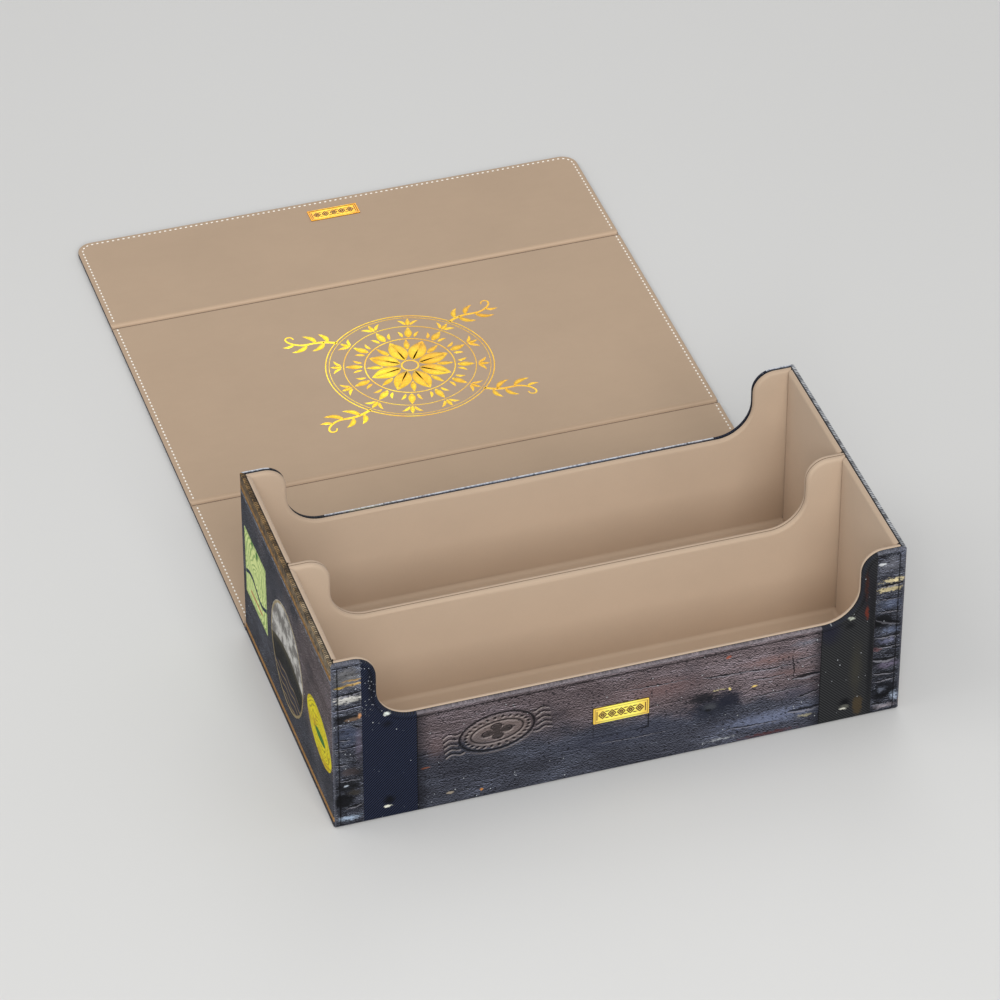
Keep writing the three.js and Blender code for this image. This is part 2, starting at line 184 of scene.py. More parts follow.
def make_piece(name, patches, inside, body, finish, replaces=(), weld=True):
    """A piece from patches: their points, faces and marks in one mesh, and then its object."""
    names = sorted({mark for one in patches for mark in one["marks"]})
    points, faces, marks, count = [], [], {mark: [] for mark in names}, 0
    for one in patches:
        rows, columns = one["points"].shape[:2]
        flat = one["points"].reshape(-1, 3)
        faces.append(turned_out(flat, cells(rows, columns, one["closed"]), inside) + count)
        points.append(flat)
        count += len(flat)
        for mark in names:
            values = np.asarray(one["marks"].get(mark, 0.0), float)
            shape = (rows, columns, 3) if mark == "place" else (rows, columns)
            marks[mark].append(np.broadcast_to(values, shape).reshape(len(flat), -1))
    marks = {m: np.concatenate(v) for m, v in marks.items()}
    marks = {m: v if m == "place" else v[:, 0] for m, v in marks.items()}
    mesh = make_mesh(name, np.concatenate(points), np.concatenate(faces), marks, weld)
    return place_piece(mesh, body, finish, replaces)

# %% [markdown]
# Every finish is a small tree of nodes. `Bench` writes such a tree: each call adds one
# node, fills its sockets with numbers or links, and hands back what comes out of it.

# %% A bench for building finishes
class Bench:
    """Adds nodes to one tree, and hands back their outputs."""

    def __init__(self, tree):
        self.tree = tree

    def node(self, kind, sockets=None, **fields):
        """A node with its fields set and its sockets filled; a string is a colour's code."""
        made = self.tree.nodes.new(kind)
        for field, value in fields.items():
            setattr(made, field, value)
        for socket, value in (sockets or {}).items():
            if isinstance(value, bpy.types.NodeSocket):
                self.tree.links.new(value, made.inputs[socket])
            else:
                value = paint(value) if isinstance(value, str) else value
                made.inputs[socket].default_value = value
        return made

    def calc(self, operation, a, b=0.0, c=0.0):
        """Arithmetic on numbers that change over the surface."""
        made = self.node("ShaderNodeMath", {0: a, 1: b, 2: c}, operation=operation)
        return made.outputs[0]

    def times(self, *values):
        """The product of several numbers."""
        made = values[0]
        for value in values[1:]:
            made = self.calc("MULTIPLY", made, value)
        return made

    def plus(self, *values):
        """The sum of several numbers."""
        made = values[0]
        for value in values[1:]:
            made = self.calc("ADD", made, value)
        return made

    def way(self, operation, a, b=(0.0, 0.0, 0.0), output="Vector"):
        """Arithmetic on vectors."""
        return self.node("ShaderNodeVectorMath", {0: a, 1: b}, operation=operation).outputs[output]

    def scaled(self, vector, by):
        """The vector with each of its parts multiplied."""
        return self.way("MULTIPLY", vector, by)

    def grown(self, vector, by):
        """The vector made longer by a number that may change over the surface."""
        return self.node(
            "ShaderNodeVectorMath", {0: vector, "Scale": by}, operation="SCALE").outputs[0]

    def parts(self, vector):
        """The three parts of a vector."""
        return self.node("ShaderNodeSeparateXYZ", {0: vector}).outputs

    def vector(self, x, y, z=0.0):
        """A vector from three parts."""
        return self.node("ShaderNodeCombineXYZ", {0: x, 1: y, 2: z}).outputs[0]

    def noise(self, where, grain, detail=3.0, roughness=0.5):
        """Cloudy noise from 0 to 1 whose blobs are about one grain wide."""
        made = self.node("ShaderNodeTexNoise", {
            "Vector": where, "Scale": 1.0 / grain, "Detail": detail, "Roughness": roughness,
        })
        return made.outputs["Fac"]

    def cell(self, where, grain, feature="F1", output="Distance"):
        """A pattern of cells about one grain wide."""
        made = self.node("ShaderNodeTexVoronoi", {"Vector": where, "Scale": 1.0 / grain},
                         feature=feature)
        return made.outputs[output]

    def step(self, value, low, high, low_out=0.0, high_out=1.0):
        """A smooth step: low_out below low, high_out above high."""
        made = self.node("ShaderNodeMapRange", {
            "Value": value, "From Min": low, "From Max": high,
            "To Min": low_out, "To Max": high_out,
        }, interpolation_type="SMOOTHSTEP")
        return made.outputs[0]

    def weigh(self, *pairs):
        """The sum of several numbers, each times its weight."""
        return self.plus(*(self.times(value, weight) for value, weight in pairs))

    def rest(self, value):
        """What is left of one."""
        return self.calc("SUBTRACT", 1.0, value)

    def size(self, value):
        """The number without its sign."""
        return self.calc("ABSOLUTE", value)

    def wave(self, value, pitch):
        """A sine whose waves are one pitch long."""
        return self.calc("SINE", self.times(value, 2 * math.pi / pitch))

    def length(self, vector):
        """The length of a vector."""
        return self.way("LENGTH", vector, output="Value")

    def squeezed(self, vector, by):
        """The vector with its first part multiplied, so that a pattern stretches along it."""
        return self.scaled(vector, (by, 1.0, 1.0))

    def object_place(self):
        """The place on the object itself, in metres."""
        return self.node("ShaderNodeTexCoord").outputs["Object"]

    def mix(self, share, first, second):
        """Two colours mixed, with share of the second."""
        made = self.node("ShaderNodeMix", {0: share, 6: first, 7: second}, data_type="RGBA")
        return made.outputs[2]

    def spectrum(self, value, *stops):
        """A run of colours, one at each stop."""
        made = self.node("ShaderNodeValToRGB", {0: value})
        ramp = made.color_ramp
        while len(ramp.elements) < len(stops):
            ramp.elements.new(0.5)
        for element, (place, colour) in zip(ramp.elements, stops):
            element.position = place
            element.color = paint(colour)
        return made.outputs[0]

    def group(self, tree, sockets):
        """A shared effect placed in this tree with its own values."""
        return self.node("ShaderNodeGroup", sockets, node_tree=tree).outputs


def paint(code):
    """A colour written as six hexadecimal digits, in the linear light Blender works in."""
    parts = [int(code[i:i + 2], 16) / 255 for i in (0, 2, 4)]
    return tuple(p / 12.92 if p < 0.04045 else ((p + 0.055) / 1.055) ** 2.4 for p in parts) + (1.0,)


def new_effect(name, takes, gives):
    """An empty node group: its bench, its inputs by name, and a function that ends it."""
    tree = bpy.data.node_groups.new(name, "ShaderNodeTree")
    kinds = {"C": "NodeSocketColor", "V": "NodeSocketVector", "F": "NodeSocketFloat"}
    for label, kind, value in takes:
        socket = tree.interface.new_socket(label, in_out="INPUT", socket_type=kinds[kind])
        socket.default_value = value
    for label, kind in gives:
        tree.interface.new_socket(label, in_out="OUTPUT", socket_type=kinds[kind])
    bench = Bench(tree)
    inside = tree.nodes.new("NodeGroupInput").outputs

    def close(**results):
        bench.node("NodeGroupOutput", results)
        print(f"effect {name}: {len(tree.nodes)} nodes")
        return tree

    return bench, inside, close


def new_finish(name, **constants):
    """A material with a Principled shader, its constants on the shader's own sockets."""
    material = bpy.data.materials.new(name)
    material.use_nodes = True
    bench = Bench(material.node_tree)
    shader = material.node_tree.nodes["Principled BSDF"]
    for socket, value in constants.items():
        shader.inputs[socket.replace("_", " ")].default_value = value
    return material, bench, shader


def dress(bench, shader, colour=None, roughness=None, height=None, depth=0.0, normal=1.0):
    """Links what changes over the surface to the shader: colour, roughness and relief."""
    if colour is not None:
        bench.tree.links.new(colour, shader.inputs["Base Color"])
    if roughness is not None:
        bench.tree.links.new(roughness, shader.inputs["Roughness"])
    if height is not None:
        bump = bench.node("ShaderNodeBump", {
            "Height": height, "Distance": depth, "Strength": normal,
        })
        bench.tree.links.new(bump.outputs[0], shader.inputs["Normal"])

# %% [markdown]
# Effects that several finishes share are node groups. Leather grain is a net of small
# pebbles with fine pores. Microfibre nap is a short pile that leans here and there, so
# its tone drifts in soft patches. Flecks are stray dots, pale or dark, and a rubbed edge is
# bare where a raised edge and a cloud of noise together pass a limit. Sizes are in metres.

# %% Shared effects: leather grain, nap, flecks and rubbed edges
bench, take, close = new_effect(
    "leather grain",
    [("Place", "V", (0, 0, 0)), ("Pebble", "F", 0.0011)],
    [("Height", "F"), ("Pore", "F")],
)
sized = bench.grown(take["Place"], bench.calc("DIVIDE", 1.0, take["Pebble"]))
pebble = bench.cell(sized, 1.0, "DISTANCE_TO_EDGE")
height = bench.plus(bench.step(pebble, 0.0, 0.22), bench.times(bench.noise(sized, 0.35, 2.0), 0.35))
LEATHER_GRAIN = close(Height=height, Pore=bench.step(pebble, 0.0, 0.08, 1.0, 0.0))

bench, take, close = new_effect(
    "microfibre nap",
    [("Place", "V", (0, 0, 0)), ("Tone", "C", paint("b59a80")), ("Drift", "F", 0.08)],
    [("Color", "C"), ("Height", "F")],
)
patches = bench.noise(take["Place"], 0.055, 3.0, 0.55)
strokes = bench.noise(bench.scaled(take["Place"], (1.0, 2.2, 1.4)), 0.009, 4.0, 0.6)
pile = bench.noise(take["Place"], 0.00045, 2.0, 0.6)
lean = bench.plus(bench.times(patches, 0.78), bench.times(strokes, 0.22), -0.5)
level = bench.plus(0.97, bench.times(lean, take["Drift"], 2.0), bench.times(pile, 0.06))
NAP = close(
    Color=bench.grown(take["Tone"], level), Height=bench.plus(pile, bench.times(strokes, 0.5)))

bench, take, close = new_effect(
    "flecks",
    [("Place", "V", (0, 0, 0)), ("Spacing", "F", 0.004), ("Size", "F", 0.12), ("Share", "F", 0.3)],
    [("Mask", "F")],
)
spread = bench.grown(take["Place"], bench.calc("DIVIDE", 1.0, take["Spacing"]))
chance = bench.parts(bench.cell(spread, 1.0, output="Color"))[0]
ragged = bench.times(take["Size"], bench.plus(0.4, bench.noise(spread, 0.3)))
spot = bench.step(bench.calc("DIVIDE", bench.cell(spread, 1.0), ragged), 0.75, 1.1, 1.0, 0.0)
FLECKS = close(Mask=bench.times(spot, bench.calc("LESS_THAN", chance, take["Share"])))

bench, take, close = new_effect(
    "rubbed edge",
    [("Place", "V", (0, 0, 0)), ("Edge", "F", 0.0), ("Amount", "F", 0.5), ("Patch", "F", 0.006)],
    [("Mask", "F")],
)
sized = bench.grown(take["Place"], bench.calc("DIVIDE", 1.0, take["Patch"]))
worn = bench.plus(take["Edge"], bench.times(bench.noise(sized, 1.0, 5.0, 0.7), 1.1))
limit = bench.calc("SUBTRACT", 2.0, take["Amount"])
RUBBED = close(Mask=bench.step(worn, bench.plus(limit, -0.12), bench.plus(limit, 0.12)))

# %% [markdown]
# The outside of the tray is leather printed with weathered boards: navy below,
# purple-brown above, full of small pits, cracks and pale scrapes. The relief of the boards
# is one group, all of it noise stretched along the grain. The print takes it twice, here
# and a little higher up: where the upper sample is lower, the wood faces the sky, and a
# painted highlight makes it lighter there, with painted shade where it faces down and in
# its pits. This gives it its crisp look under any lamp.

# %% Shared effects: relief of boards, and the boards themselves
bench, take, close = new_effect(
    "board relief",
    [("Place", "V", (0, 0, 0)), ("Boards", "F", 0.033), ("Split", "F", 1.0)],
    [("Height", "F"), ("Gap", "F"), ("Pit", "F")],
)
along, rise, side = bench.parts(take["Place"])
sway = bench.noise(bench.squeezed(take["Place"], 0.35), 0.02, 3.0)
bent = bench.plus(rise, bench.times(bench.plus(sway, -0.5), 0.006))
grain = bench.noise(bench.vector(bench.times(along, 0.85), bent, side), 0.00075, 2.0, 0.6)
pits = bench.noise(bench.vector(bench.times(along, 0.6), bent, side), 0.0014, 4.0, 0.68)
fibre = bench.noise(bench.vector(bench.times(along, 0.12), bent, side), 0.0024, 4.0, 0.6)
split = bench.noise(bench.vector(bench.times(along, 0.15), bent, side), 0.006, 4.0, 0.6)
torn = bench.step(bench.noise(take["Place"], 0.028, 3.0), 0.5, 0.62)
crack = bench.times(bench.step(bench.size(bench.plus(split, -0.5)), 0.0, 0.014, 1.0, 0.0), torn)
joint = bench.size(
    bench.plus(bench.calc("FRACT", bench.calc("DIVIDE", bent, take["Boards"])), -0.5))
gap = bench.times(bench.step(joint, 0.482, 0.496), bench.step(sway, 0.42, 0.58, 0.1, 1.0))
dark = bench.times(bench.calc("MAXIMUM", gap, crack), take["Split"])
relief = bench.weigh((grain, 0.54), (pits, 0.32), (fibre, 0.14), (dark, -0.5))
hollow = bench.step(bench.weigh((pits, 0.65), (grain, 0.35)), 0.36, 0.43, 1.0, 0.0)
BOARD_RELIEF = close(Height=relief, Gap=dark, Pit=hollow)

bench, take, close = new_effect(
    "weathered boards",
    [("Place", "V", (0, 0, 0)), ("Warmth", "F", 0.5), ("Light", "F", 1.0), ("Wear", "F", 0.3),
     ("Boards", "F", 0.033), ("Split", "F", 1.0)],
    [("Color", "C"), ("Height", "F"), ("Roughness", "F")],
)
both = {"Boards": take["Boards"], "Split": take["Split"]}
here = bench.group(BOARD_RELIEF, {"Place": take["Place"], **both})
above = bench.group(
    BOARD_RELIEF, {"Place": bench.way("ADD", take["Place"], (0, 0.00035, 0)), **both})
facing = bench.calc("SUBTRACT", here["Height"], above["Height"])
clouds = bench.noise(take["Place"], 0.03, 4.0, 0.6)
bands = bench.noise(bench.squeezed(take["Place"], 0.22), 0.009, 5.0, 0.62)
tone = bench.weigh((clouds, 0.35), (bands, 0.4), (here["Height"], 0.25))
navy = bench.spectrum(tone, (0.36, "353640"), (0.5, "474954"), (0.66, "646979"))
plum = bench.spectrum(tone, (0.36, "4c4245"), (0.5, "655a5d"), (0.66, "867b82"))
lift = bench.plus(take["Warmth"], bench.times(bench.plus(clouds, -0.5), 1.3))
wood = bench.mix(bench.step(lift, 0.25, 0.75), navy, plum)
scrape = bench.noise(bench.squeezed(take["Place"], 0.3), 0.0035, 6.0, 0.75)
pale = bench.step(
    bench.weigh((here["Height"], 0.5), (scrape, 0.5), (take["Wear"], 0.25)), 0.6, 0.72)
wood = bench.mix(bench.times(pale, 0.55), wood, "9da3b0")
# Painted light on the relief: lighter where it faces up, darker where it faces down, with painted
# shade in the pits.
lit = bench.calc("MAXIMUM", bench.plus(1.0, bench.times(facing, 10.5)), 0.2)
pit_shade = bench.plus(1.0, bench.times(here["Pit"], -0.62))
wood = bench.grown(wood, bench.times(lit, pit_shade, take["Light"]))
wood = bench.mix(bench.times(here["Gap"], 0.85), wood, "0d0e13")
gloss = bench.plus(0.62, bench.times(bench.plus(clouds, -0.5), -0.3))
PLANKS = close(Color=wood, Height=here["Height"], Roughness=gloss)

# %% [markdown]
# Noise alone gives wood that could be anywhere. A real board is known by its knots,
# stains and cracks, so these are placed one by one, in millimetres, over the noise. A stain is
# an oval whose edge is soft, gritty or both. A crack is the distance to a line, thinner at
# its ends, with a painted highlight along its lower side, where its lip would catch the light.

# %% Shared effects: stains and cracks
bench, take, close = new_effect(
    "stain",
    [("Place", "V", (0, 0, 0)), ("Middle", "V", (0, 0, 0)), ("Half size", "V", (0.01, 0.01, 1)),
     ("Soft", "F", 0.5), ("Grit", "F", 0.0)],
    [("Mask", "F")],
)
off = bench.scaled(bench.way("SUBTRACT", take["Place"], take["Middle"]), (1, 1, 0))
far = bench.length(bench.way("DIVIDE", off, take["Half size"]))
STAIN = close(
    Mask=bench.step(bench.plus(far, take["Grit"]), bench.rest(take["Soft"]), 1.0, 1.0, 0.0))

bench, take, close = new_effect(
    "crack",
    [("Place", "V", (0, 0, 0)), ("Start", "V", (0, 0, 0)), ("End", "V", (0.01, 0, 0)),
     ("Width", "F", 0.0004)],
    [("Dark", "F"), ("Lip", "F")],
)
run = bench.way("SUBTRACT", take["End"], take["Start"])
since = bench.way("SUBTRACT", bench.scaled(take["Place"], (1, 1, 0)), take["Start"])
covered, whole = (bench.way("DOT_PRODUCT", each, run, "Value") for each in (since, run))
share = bench.calc("DIVIDE", covered, whole)
share = bench.calc("MINIMUM", bench.calc("MAXIMUM", share, 0.0), 1.0)
nearest = bench.way("SUBTRACT", since, bench.grown(run, share))
slim = bench.times(take["Width"], bench.plus(0.35, bench.times(share, bench.rest(share), 2.8)))
dark = bench.calc("DIVIDE", bench.length(nearest), slim)
lower = bench.way("ADD", nearest, bench.vector(0.0, bench.times(slim, 1.9)))
lip = bench.calc("DIVIDE", bench.length(lower), slim)
CRACK = close(Dark=bench.step(dark, 0.5, 1.4, 1.0, 0.0), Lip=bench.step(lip, 0.3, 1.2, 1.0, 0.0))


def marks_of(bench):
    """The marks that a piece carries: its place on the wall, its rim, presses and edges."""
    read = {m: bench.node("ShaderNodeAttribute", attribute_name=m).outputs for m in
            ("place", "rim", "press", "edge")}
    return read["place"]["Vector"], read["rim"]["Fac"], read["press"]["Fac"], read["edge"]["Fac"]


def between(bench, value, low, high, soft=0.0003):
    """One between low and high, zero outside."""
    return bench.times(bench.step(value, low - soft, low + soft),
                       bench.step(value, high - soft, high + soft, 1.0, 0.0))


def flecked(bench, where, spacing, size, share):
    """Stray dots, one on each and zero between."""
    dots = {"Place": where, "Spacing": spacing, "Size": size, "Share": share}
    return bench.group(FLECKS, dots)["Mask"]


def shaken(bench, place, reach=0.0026, grain=0.006):
    """The place pushed about by noise, so that nothing drawn on it has a straight edge."""
    drift = bench.node("ShaderNodeTexNoise", {
        "Vector": place, "Scale": 1 / grain, "Detail": 4.0, "Roughness": 0.7,
    })
    push = bench.way("SUBTRACT", drift.outputs["Color"], (0.5, 0.5, 0.5))
    return bench.way("ADD", place, bench.grown(push, reach))


def stained(bench, spot, grit, colour, stains):
    """A colour with stains laid over it: middle, half sizes, paint, strength, softness, grit."""
    for x, z, half_x, half_z, code, strength, soft, gritty in stains:
        stain = bench.group(STAIN, {
            "Place": spot, "Middle": (x / 1000, z / 1000, 0), "Soft": soft,
            "Half size": (half_x / 1000, half_z / 1000, 1), "Grit": bench.times(grit, gritty),
        })
        colour = bench.mix(bench.times(stain["Mask"], strength), colour, code)
    return colour


def cracked(bench, spot, colour, cracks):
    """A colour with cracks drawn over it: both ends and half the width."""
    for x0, z0, x1, z1, half in cracks:
        crack = bench.group(CRACK, {"Place": spot, "Start": (x0 / 1000, z0 / 1000, 0),
                                    "End": (x1 / 1000, z1 / 1000, 0), "Width": half / 1000})
        # A painted highlight below each crack, then the crack's dark line.
        colour = bench.mix(bench.times(crack["Lip"], 0.55), colour, "8f8e96")
        colour = bench.mix(bench.times(crack["Dark"], 0.92), colour, "0b0c10")
    return colour

# %% [markdown]
# The long walls carry two dark bands of diagonal twill over the boards, with a shadow
# beside each, narrow strips of rougher wood at the ends, four nails, and the pressed lines.
# The lists place each knot and stain of the front: first the wide middle, then the strips.

# %% Stains and cracks of the front
MIDDLE_STAINS = [
    (18, 43, 34, 11, "765a58", 0.45, 1.0, 0.4), (76, 47, 26, 4.2, "7f615c", 0.5, 0.9, 0.6),
    (82, 37, 22, 3.4, "705856", 0.45, 0.9, 0.6), (93, 53, 12, 3.2, "7b7f8c", 0.5, 0.9, 0.8),
    (46, 25.0, 22, 13.5, "1d202a", 0.85, 0.7, 0.8), (41, 32, 11, 4, "14161c", 0.85, 0.6, 0.5),
    (44.5, 26, 5.5, 3.4, "44464a", 0.75, 0.8, 0.7), (43.5, 24, 2.4, 1.1, "0d0e12", 0.9, 0.6, 0.5),
    (54, 28.5, 9, 7.5, "1a1d29", 0.85, 0.6, 0.4), (88, 24, 16, 9, "3f404e", 0.55, 0.9, 0.5),
    (74, 11, 40, 7.5, "8d98b8", 0.4, 0.9, 1.0), (74, 1.8, 22, 1.6, "522a28", 0.65, 0.7, 0.9),
    (53.3, 54.1, 1.7, 1.3, "96503c", 0.85, 0.4, 0.5),
    (-96.5, 25.4, 3.2, 0.8, "8a5138", 0.85, 0.5, 0.6),
    (-69, 5.1, 1.4, 0.9, "bb7a35", 0.9, 0.4, 0.3), (-84.3, 6.7, 2.4, 0.9, "958a7a", 0.9, 0.5, 0.5),
    (66.3, 32.6, 1.9, 0.8, "e6c66c", 0.95, 0.5, 0.6),
    (49.5, 35.0, 5.5, 0.55, "b9ad84", 0.8, 0.6, 1.3),
    (54.5, 34.4, 0.9, 1.5, "d8c67c", 0.9, 0.5, 0.6), (93, 7.8, 6, 1.6, "a49c7e", 0.75, 0.7, 1.5),
    (50, 4.4, 13, 1.3, "b3b6ba", 0.6, 0.8, 1.5), (-90, 36, 8, 12, "5b4845", 0.4, 0.9, 0.4),
    (-61, 38.5, 18.5, 10.5, "7a6c66", 0.45, 0.25, 0.2), (0, 20, 60, 12, "3a3f52", 0.35, 1.0, 0.6),
]
STRIP_STAINS = [
    (-133, 89, 10, 9, "6d6c6c", 0.7, 0.6, 0.6), (-131, 84.8, 8.5, 1.0, "b8975a", 0.9, 0.5, 0.7),
    (-130, 87.4, 7.5, 0.8, "a98a58", 0.8, 0.5, 0.7),
    (-137, 84.3, 2.8, 1.1, "c9a953", 0.9, 0.5, 0.5),
    (-133, 76.4, 11, 3.1, "c2c0ba", 0.92, 0.5, 1.3), (-133, 55, 9, 11, "434c64", 0.55, 0.8, 0.6),
    (-133.5, 65, 9, 3, "131316", 0.95, 0.4, 0.6), (-131, 64, 5, 1.6, "635143", 0.85, 0.5, 0.7),
    (-127.4, 65.4, 1.5, 2.4, "b07f55", 0.9, 0.5, 0.9),
    (-132, 32.4, 6.5, 3.6, "3b3537", 0.9, 0.5, 0.5), (-134, 24, 8, 5, "131418", 0.92, 0.5, 0.6),
    (-134.5, 24.6, 1.7, 0.9, "b4bdc8", 0.85, 0.6, 1.0),
    (-131, 19.6, 5, 2.6, "35312c", 0.8, 0.6, 0.5), (-136, 15.5, 7.5, 6, "0a0b0f", 0.97, 0.45, 0.5),
    (-134, 4.6, 9, 2.2, "a5b6cc", 0.85, 0.7, 1.0), (-128, 48, 3, 18, "5e5766", 0.5, 0.9, 0.4),
    (134, 90, 10, 7, "66676f", 0.65, 0.7, 0.6), (129, 90.8, 3, 1.1, "d2d5d8", 0.9, 0.5, 0.5),
    (135.5, 80.2, 9, 2.2, "cbbd95", 0.9, 0.5, 1.3), (133.5, 75.3, 10, 2.2, "c4b68e", 0.9, 0.5, 1.3),
    (134, 66, 9, 7, "616c88", 0.4, 0.8, 0.9), (130.5, 56.5, 7.5, 6, "0b0c10", 0.97, 0.45, 0.6),
    (135, 50, 8, 3, "8793b2", 0.5, 0.8, 1.1), (133, 44, 8, 3, "787a96", 0.45, 0.8, 1.1),
    (128, 39.5, 4, 1.9, "66494c", 0.75, 0.6, 0.4), (134, 29, 9, 3.4, "756d82", 0.65, 0.8, 0.8),
    (132.5, 13, 8.5, 7.5, "0e1015", 0.95, 0.45, 0.5), (131.5, 14, 4, 3, "5d626e", 0.8, 0.8, 1.0),
    (138.5, 9, 4, 5, "b4c1d6", 0.85, 0.8, 1.0), (134, 3.4, 10, 1.8, "9a949c", 0.85, 0.7, 1.0),
]
BAND_STAINS = [
    (104, 56, 9, 12, "1a1b2b", 0.75, 0.9, 0.3), (122, 76, 8, 26, "1b1a20", 0.7, 0.8, 0.3),
    (118, 30, 5, 26, "38362e", 0.6, 0.9, 0.3), (119.6, 7.5, 3.4, 7.5, "463b29", 0.75, 0.4, 0.4),
    (121.6, 80, 1.6, 13, "44261d", 0.7, 0.8, 0.6),
    (122.3, 63.5, 1.2, 5.5, "632b20", 0.85, 0.5, 0.4), (125, 40, 2.6, 62, "0e0f13", 0.8, 0.9, 0.2),
    (-121.5, 82, 3.6, 18, "0b0c13", 0.75, 0.9, 0.3),
    (-114.0, 10.6, 4.6, 4.0, "07080c", 0.9, 0.8, 0.2),
    (-114.3, 7.0, 3.1, 1.1, "dcdccd", 1.0, 0.5, 0.8),
    (112.9, 10.8, 4.6, 4.0, "07080c", 0.9, 0.8, 0.2),
    (112.9, 8.0, 3.6, 1.9, "55554f", 0.9, 0.5, 0.5),
    (112.2, 6.9, 2.5, 0.9, "d0cec2", 1.0, 0.5, 0.9),
    (-114.4, 63.2, 1.9, 1.5, "dfe5de", 1.0, 0.5, 0.4),
    (114.2, 61.8, 2.7, 1.6, "b8bcae", 0.95, 0.6, 0.7),
    (-114.0, 57, 4.0, 3.2, "08090d", 0.7, 0.9, 0.2),
    (114.0, 57.5, 4.0, 3.2, "08090d", 0.7, 0.9, 0.2),
]
FRONT_CRACKS = [
    (40.5, 44.6, 62, 42.8, 0.4), (60, 43.0, 84, 41.4, 0.35), (85.6, 47, 86.6, 33.6, 0.34),
    (86, 32.8, 101, 33.4, 0.8), (88, 43.6, 100, 44.2, 0.3), (84, 12.4, 101, 12.8, 0.8),
    (52, 9.6, 80, 8.4, 0.3), (64, 36.6, 82, 36.2, 0.35), (0, 46.8, 34, 45.8, 0.22),
    (-12, 18, 24, 16.6, 0.25), (60, 26, 99, 27.4, 0.25), (88, 20, 101, 23, 0.4),
    (-140, 79.2, -126, 80.0, 0.6), (-140, 71.6, -133, 71, 0.3), (-138, 52.8, -132, 52.0, 0.35),
    (-140, 47, -134, 46.4, 0.35), (-135, 11.0, -127, 12.0, 0.5), (-131, 60.4, -127, 58.6, 0.45),
    (-140, 38.4, -134, 37.6, 0.35), (-139, 28, -128, 27.6, 0.3), (127, 77.4, 141, 77.9, 0.5),
    (127, 58.4, 139, 53.6, 0.9), (127, 47.0, 140, 46.2, 0.4), (126.5, 33.4, 138, 32.4, 0.8),
    (127, 24.8, 138, 23.4, 0.5), (127, 19.6, 139, 20.2, 0.35), (127, 5.4, 134, 6.0, 0.5),
    (128, 62.4, 140, 61.2, 0.4), (127, 70, 140, 69.2, 0.3), (128, 40.8, 140, 40.0, 0.4),
]
BACK_STAINS = [
    (-52, 40, 30, 10, "765a58", 0.45, 1.0, 0.4), (30, 18, 20, 12, "262934", 0.85, 0.9, 0.3),
    (-20, 50, 24, 5, "8b95b3", 0.45, 1.0, 1.0), (-70, 9, 30, 6, "8b95b3", 0.5, 1.0, 1.1),
    (31, 20, 6, 4, "474b54", 0.7, 0.9, 0.6), (-10, 62.4, 92, 3.6, "8f98ac", 0.7, 0.6, 1.6),
    (78, 62.4, 20, 3.2, "b9b08c", 0.8, 0.6, 1.5), (60, 35, 3, 1, "b9532f", 0.9, 0.4, 0.4),
    (134, 60, 9, 14, "616c88", 0.5, 0.8, 0.7), (-134, 60, 9, 14, "505a74", 0.5, 0.8, 0.7),
    (133, 22, 7, 5, "12141a", 0.93, 0.6, 0.4), (-133, 34, 7, 4, "0d0e12", 0.93, 0.6, 0.4),
    (134, 76, 10, 2.4, "cbbc93", 0.9, 0.4, 0.5), (-134, 6, 10, 2, "9aa9c0", 0.85, 0.7, 1.0),
    (134, 96, 10, 3, "b4bccb", 0.85, 0.6, 1.0), (-134, 96, 10, 3, "b4bccb", 0.85, 0.6, 1.0),
]
BACK_CRACKS = [
    (-96, 33, -40, 31.6, 0.6), (-44, 44, 6, 43, 0.35), (10, 33, 70, 31.6, 0.6),
    (60, 44, 98, 45, 0.4), (-90, 14, -52, 12.6, 0.5), (40, 8, 92, 9.4, 0.4),
    (127, 52, 140, 50, 0.7), (127, 30, 139, 31, 0.5), (-140, 72, -127, 73, 0.6),
    (-140, 24, -128, 23, 0.5), (-70, 52, -66, 34, 0.5), (127, 84, 139, 83, 0.4),
    (-139, 48, -128, 47, 0.4),
]
print("front stains", len(MIDDLE_STAINS) + len(STRIP_STAINS) + len(BAND_STAINS), "cracks",
      len(FRONT_CRACKS))

# %% Finish: printed leather of the long walls
def bands_of_twill(bench, along, rise):
    """Two bands of diagonal twill, navy and grey: their colour, where they are, their rib."""
    out = bench.size(along)
    rib = bench.wave(bench.plus(out, rise), 0.00158)
    right = bench.step(along, 0.0, 0.01)
    dark = bench.mix(right, "000103", "1b1c1e")
    lit = bench.mix(right, "293048", "323334")
    return bench.mix(bench.step(rib, -0.35, 0.95), dark, lit), between(
        bench, out, 0.0999, 0.12635, 0.00012), rib


def rolled_rim(bench, place, rim, edge, colour, frost, amount):
    """A print that rolls over a rim: rubbed to pale specks on top, and dark where it turns down
    beside the lining, as painted shade.
    """
    grain = bench.group(LEATHER_GRAIN, {"Place": place, "Pebble": 0.0009})
    rubbed = bench.group(RUBBED, {"Place": place, "Edge": edge, "Amount": amount, "Patch": 0.0013})
    colour = bench.mix(bench.times(rubbed["Mask"], 0.85), colour, frost)
    return bench.mix(bench.step(rim, 1.2, 1.7, 0.0, 0.9), colour, "0b0c11"), grain


